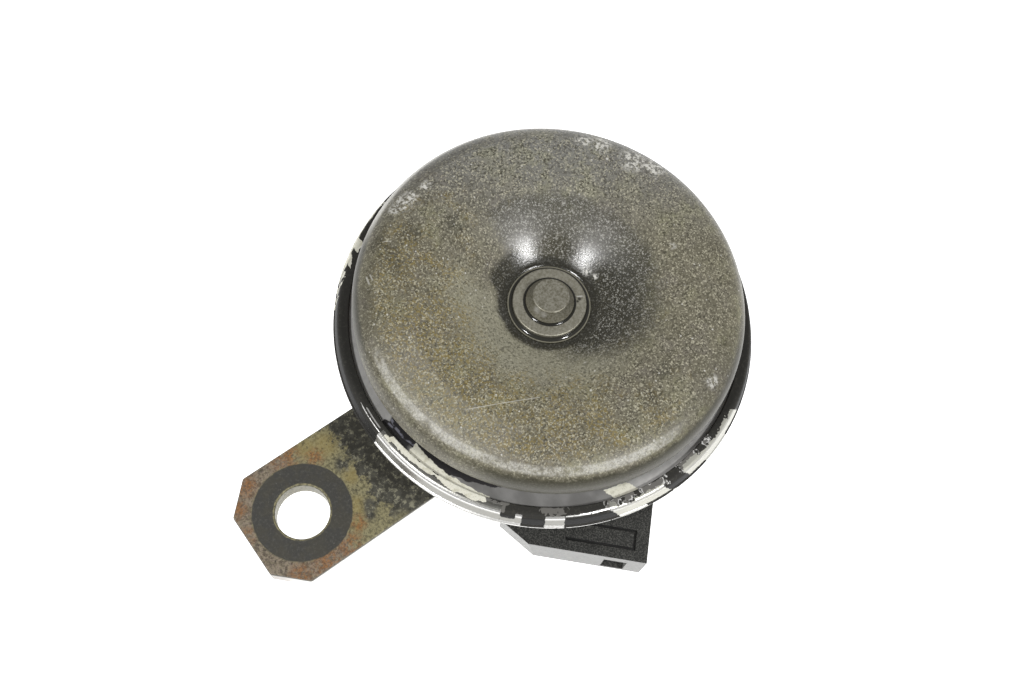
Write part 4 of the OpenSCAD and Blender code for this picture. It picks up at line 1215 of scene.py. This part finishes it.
@dataclass
class ClampRing:
    """Folded rim with a flat lip, a leaning wall and a bead along its rear fold."""

    top: float = RIM_TOP
    lip_r: float = 31.9
    lip_z: float = 21.8
    clamp_r: float = 33.0
    flange_z: float = 19.9
    fold_r: float = 31.5
    low: float = 19.3
    front_r: float = 33.6
    rim_r: float = 34.5
    bead_h: float = 0.5
    groove_d: float = 0.5
    groove_low: float = 0.62
    groove_top: float = 0.95
    wall_in: float = 0.25
    fold_out: float = 0.05
    fold_h: float = 0.3
    fold_w: float = 0.1
    lip_w: float = 0.15
    reach: float = 2.0
    spacing: float = 0.15
    segments: int = 720
    chips: Tuple[Tuple[Loss, Table], ...] = (
        (Loss.BARE, (
            (182, 221, -1.05, 5), (221, 226.6, 1.2, 5), (224.9, 226.6, -0.2, 2.2),
            (232.6, 237.8, -0.3, 5), (250.3, 266, -0.25, 2.2, 1), (250.3, 258, 1.8, 5, 1),
            (255, 279, 2.85, 5), (250, 252, -1.3, 0.2), (257, 266, -0.6, 0.2),
            (273, 296, -0.45, 1.9, 0.8), (279, 288.5, 1.5, 5, 0.8), (273.5, 279, -0.95, 0),
            (288.5, 293, -0.75, 0.2), (214.5, 221, -1.2, -0.75))),
        (Loss.CREAM, (
            (189, 217.5, -1.9, -0.75, 0.8), (184, 189, -1.9, -0.85, -0.6),
            (182.6, 186, -1.25, -0.35), (120.6, 124.4, -1.1, 0.6, -1.5),
            (126.2, 129.6, -0.8, 0.8, -1.5), (108, 130, 0.1, 5, 1.5),
            (131.5, 133.4, 0, 5, 1.5), (134.6, 136, -0.2, 5, 1.5), (138.2, 139.4, 0.3, 5, 1))),
        (Loss.WORN, (
            (215, 222, -1.9, 0.2), (231.8, 238, -1.9, -0.7), (249.5, 252.5, -1.9, -0.1),
            (253.5, 257.5, -1.9, -0.1), (259.5, 267, -1.9, -0.1), (272.5, 279, -1.9, -0.1),
            (283, 284.5, -1.9, -0.6))),
        (Loss.LINE, (
            (172, 182, -0.43, -0.31), (174, 181, -0.92, -0.76), (238, 242.5, -0.28, -0.03),
            (242, 246.5, -0.4, -0.14), (246, 251, -0.52, -0.26), (222, 262, 2.74, 2.94))))

    def field(self, points: np.ndarray, rows: Table) -> np.ndarray:
        """Distance in millimetres into the nearest chip, below zero outside all of them.

        A chip is a leaning box in arc length and place across the rim, and the distance
        is the least of those to its four sides.

        Args:
            points: places on the ring, in millimetres.
            rows: the chips of one kind.

        Returns:
            One distance for each place, cut off at the reach either way.
        """
        x, y = points[:, 0] - AXIS, points[:, 1]
        r, turn = np.hypot(x, y), np.degrees(np.arctan2(y, x)) % 360.0
        on_lip = (r < self.front_r - self.fold_w) & (points[:, 2] > self.top - self.fold_h)
        across = np.where(on_lip, r - self.front_r, self.top - points[:, 2])
        across = np.where(r < self.lip_r + self.lip_w, self.lip_r - self.front_r, across)
        scale = math.radians(1.0) * self.rim_r
        depth = [np.minimum.reduce([(turn - c.start - c.lean * across) * scale,
                                    (c.end + c.lean * across - turn) * scale,
                                    across - c.inner, c.outer - across])
                 for c in (Chip(*row) for row in rows)]
        return np.clip(np.max(depth, axis=0), -self.reach, self.reach)

    def build(self, dresser: Dresser) -> None:
        """Makes the ring and stores where its enamel is gone.

        Args:
            dresser: gives the pieces their finish and body.
        """
        corners = np.array([
            [self.lip_r, self.top], [self.lip_r, self.lip_z], [self.clamp_r, self.lip_z],
            [self.clamp_r, self.flange_z], [self.fold_r, self.flange_z],
            [self.fold_r, self.low], [self.rim_r, self.low],
            [self.rim_r, self.low + self.bead_h],
            [self.rim_r - self.groove_d, self.low + self.groove_low],
            [self.rim_r - self.wall_in, self.low + self.groove_top],
            [self.front_r + self.fold_out, self.top]])
        radii = [0.2, 0.0, 0.0, 0.0, 0.0, 0.12, 0.25, 0.25, 0.08, 0.12, 0.75]
        profile = densified(rounded(corners, radii), self.spacing)
        ring = revolved("clamp_ring_folded", profile, self.segments)
        flat = np.empty(len(ring.data.vertices) * 3)
        ring.data.vertices.foreach_get("co", flat)
        for loss, rows in self.chips:
            depth = self.field(flat.reshape(-1, 3) / MM, rows)
            layer = ring.data.attributes.new(loss.value, "FLOAT", "POINT")
            layer.data.foreach_set("value", depth.astype(np.float32))
        dresser.dress(ring, "clamp_ring")


@dataclass
class Stay:
    """The flat stay, its bolt and the spring washer under the bolt's head."""

    plate_edge: float = 0.28
    bolt_edge: float = 0.35
    washer_edge: float = 0.15

    def build(self, dresser: Dresser) -> None:
        """Rounds the edges of the stay, the bolt and the split washer.

        Args:
            dresser: gives the pieces their finish and body.
        """
        for node, name, width in (("stay", "stay_plate", self.plate_edge),
                                  ("stay_bolt", "stay_bolt_hexagon", self.bolt_edge),
                                  ("spring_washer", "spring_washer_split", self.washer_edge)):
            dresser.dress(bevelled(node, name, width), node)


@dataclass
class Casing:
    """The drawn casing and the small hardware on its rear."""

    drawn_edge: float = 0.12
    hardware_edge: float = 0.14

    def build(self, dresser: Dresser) -> None:
        """Gives the casing its enamel and rounds the rear hardware.

        Args:
            dresser: gives the pieces their finish and body.
        """
        casing = bevelled("rear_casing", "casing_drawn", self.drawn_edge, 2)
        dresser.dress(casing, "rear_casing", StoveEnamel().material())
        for node in ("adjuster_bush", "adjusting_screw", "adjuster_lock_nut",
                     "stack_rivets", "socket_rivets"):
            dresser.dress(bevelled(node, node + "_rounded", self.hardware_edge, 2), node)


@dataclass
class PlugSocket:
    """The moulded socket and its terminals."""

    moulded_edge: float = 0.22
    blade_edge: float = 0.12

    def build(self, dresser: Dresser) -> None:
        """Rounds the moulding's edges and the blades' tips.

        Args:
            dresser: gives the pieces their finish and body.
        """
        moulding = bevelled("plug_socket", "plug_socket_moulding", self.moulded_edge)
        dresser.dress(moulding, "plug_socket")
        for node in ("inner_terminal", "outer_terminal"):
            dresser.dress(bevelled(node, node + "_blade", self.blade_edge, 2), node)


@dataclass
class Studio:
    """Floor, lights and camera, as in a light tent with two softboxes overhead."""

    floor_z: float = -7.3
    floor_half: float = 3000.0
    floor_tones: Tones = (236, 236, 236)
    floor_glow: float = 1.1
    ambient: float = 0.28
    lens: float = 40.43
    eye: Row = (-10.38, -49.15, 192.8)
    right: Row = (0.8020, -0.5928, 0.0733)
    upward: Row = (0.5280, 0.7609, 0.3772)

    def camera(self) -> None:
        """Places the camera at the photograph's viewpoint."""
        data = bpy.data.cameras.new("camera")
        data.lens, data.sensor_width = self.lens, 36.0
        data.clip_start, data.clip_end = 0.005, 20.0
        eye = linked("camera", data)
        right = Vector(self.right).normalized()
        back = right.cross(Vector(self.upward)).normalized()
        turn = Matrix((right, back.cross(right), back)).transposed().to_4x4()
        eye.matrix_world = Matrix.Translation(Vector(self.eye) * MM) @ turn
        bpy.context.scene.camera = eye

    def softbox(self, name: str, towards: Row, distance: float, size: float,
                power: float) -> None:
        """An area light that looks at the horn.

        Args:
            name: the light's name.
            towards: direction from the horn to the light.
            distance: how far off it stands, in metres.
            size: side of the square, in metres.
            power: its power in watts.
        """
        data = bpy.data.lights.new(name, "AREA")
        data.size, data.energy = size, power
        box = linked(name, data)
        way = Vector(towards).normalized()
        box.location = Vector((AXIS, 0.0, RIM_TOP)) * MM + way * distance
        box.rotation_mode = "QUATERNION"
        box.rotation_quaternion = way.to_track_quat("Z", "Y")

    def floor(self) -> None:
        """A wide pale floor under the horn's lowest point."""
        signs = np.array([[-1, -1], [1, -1], [1, 1], [-1, 1]])
        corners = np.hstack([signs * self.floor_half, np.full((4, 1), self.floor_z)])
        mesh = bpy.data.meshes.new("floor")
        mesh.from_pydata((corners * MM).tolist(), [], [[0, 1, 2, 3]])
        g = Graph("pale_floor")
        g.shader.inputs["Emission Color"].default_value = WHITE
        g.shader.inputs["Emission Strength"].default_value = self.floor_glow
        mesh.materials.append(g.done(self.floor_tones, 0.9, specular=0.1))
        linked("floor", mesh)

    def build(self) -> None:
        """Sets up the whole studio."""
        world = bpy.data.worlds.new("studio")
        world.use_nodes = True
        background = world.node_tree.nodes["Background"]
        background.inputs["Color"].default_value = WHITE
        background.inputs["Strength"].default_value = self.ambient
        bpy.context.scene.world = world
        bpy.context.scene.view_settings.view_transform = "Standard"
        self.softbox("right_softbox", (0.119, -0.592, 0.797), 0.7, 0.09, 2.2)
        self.softbox("left_softbox", (-0.574, 0.006, 0.819), 0.7, 0.09, 2.2)
        self.softbox("top_sheet", (0.75, 0.35, 0.6), 1.2, 0.9, 0.6)
        self.floor()
        self.camera()


def main() -> None:
    """Builds the studio and the horn, then dresses every solid that still shows."""
    logging.basicConfig(level=logging.INFO, format="%(name)s: %(message)s")
    Studio().build()
    dresser = Dresser()
    for part in (ToneDisc(), Diaphragm(), Hub(), ClampRing(), Stay(), Casing(), PlugSocket()):
        part.build(dresser)
    for node, solid in frame["nodes"].items():
        if not solid.hide_render:
            dresser.cover(node)


if __name__ == "__main__":
    main()
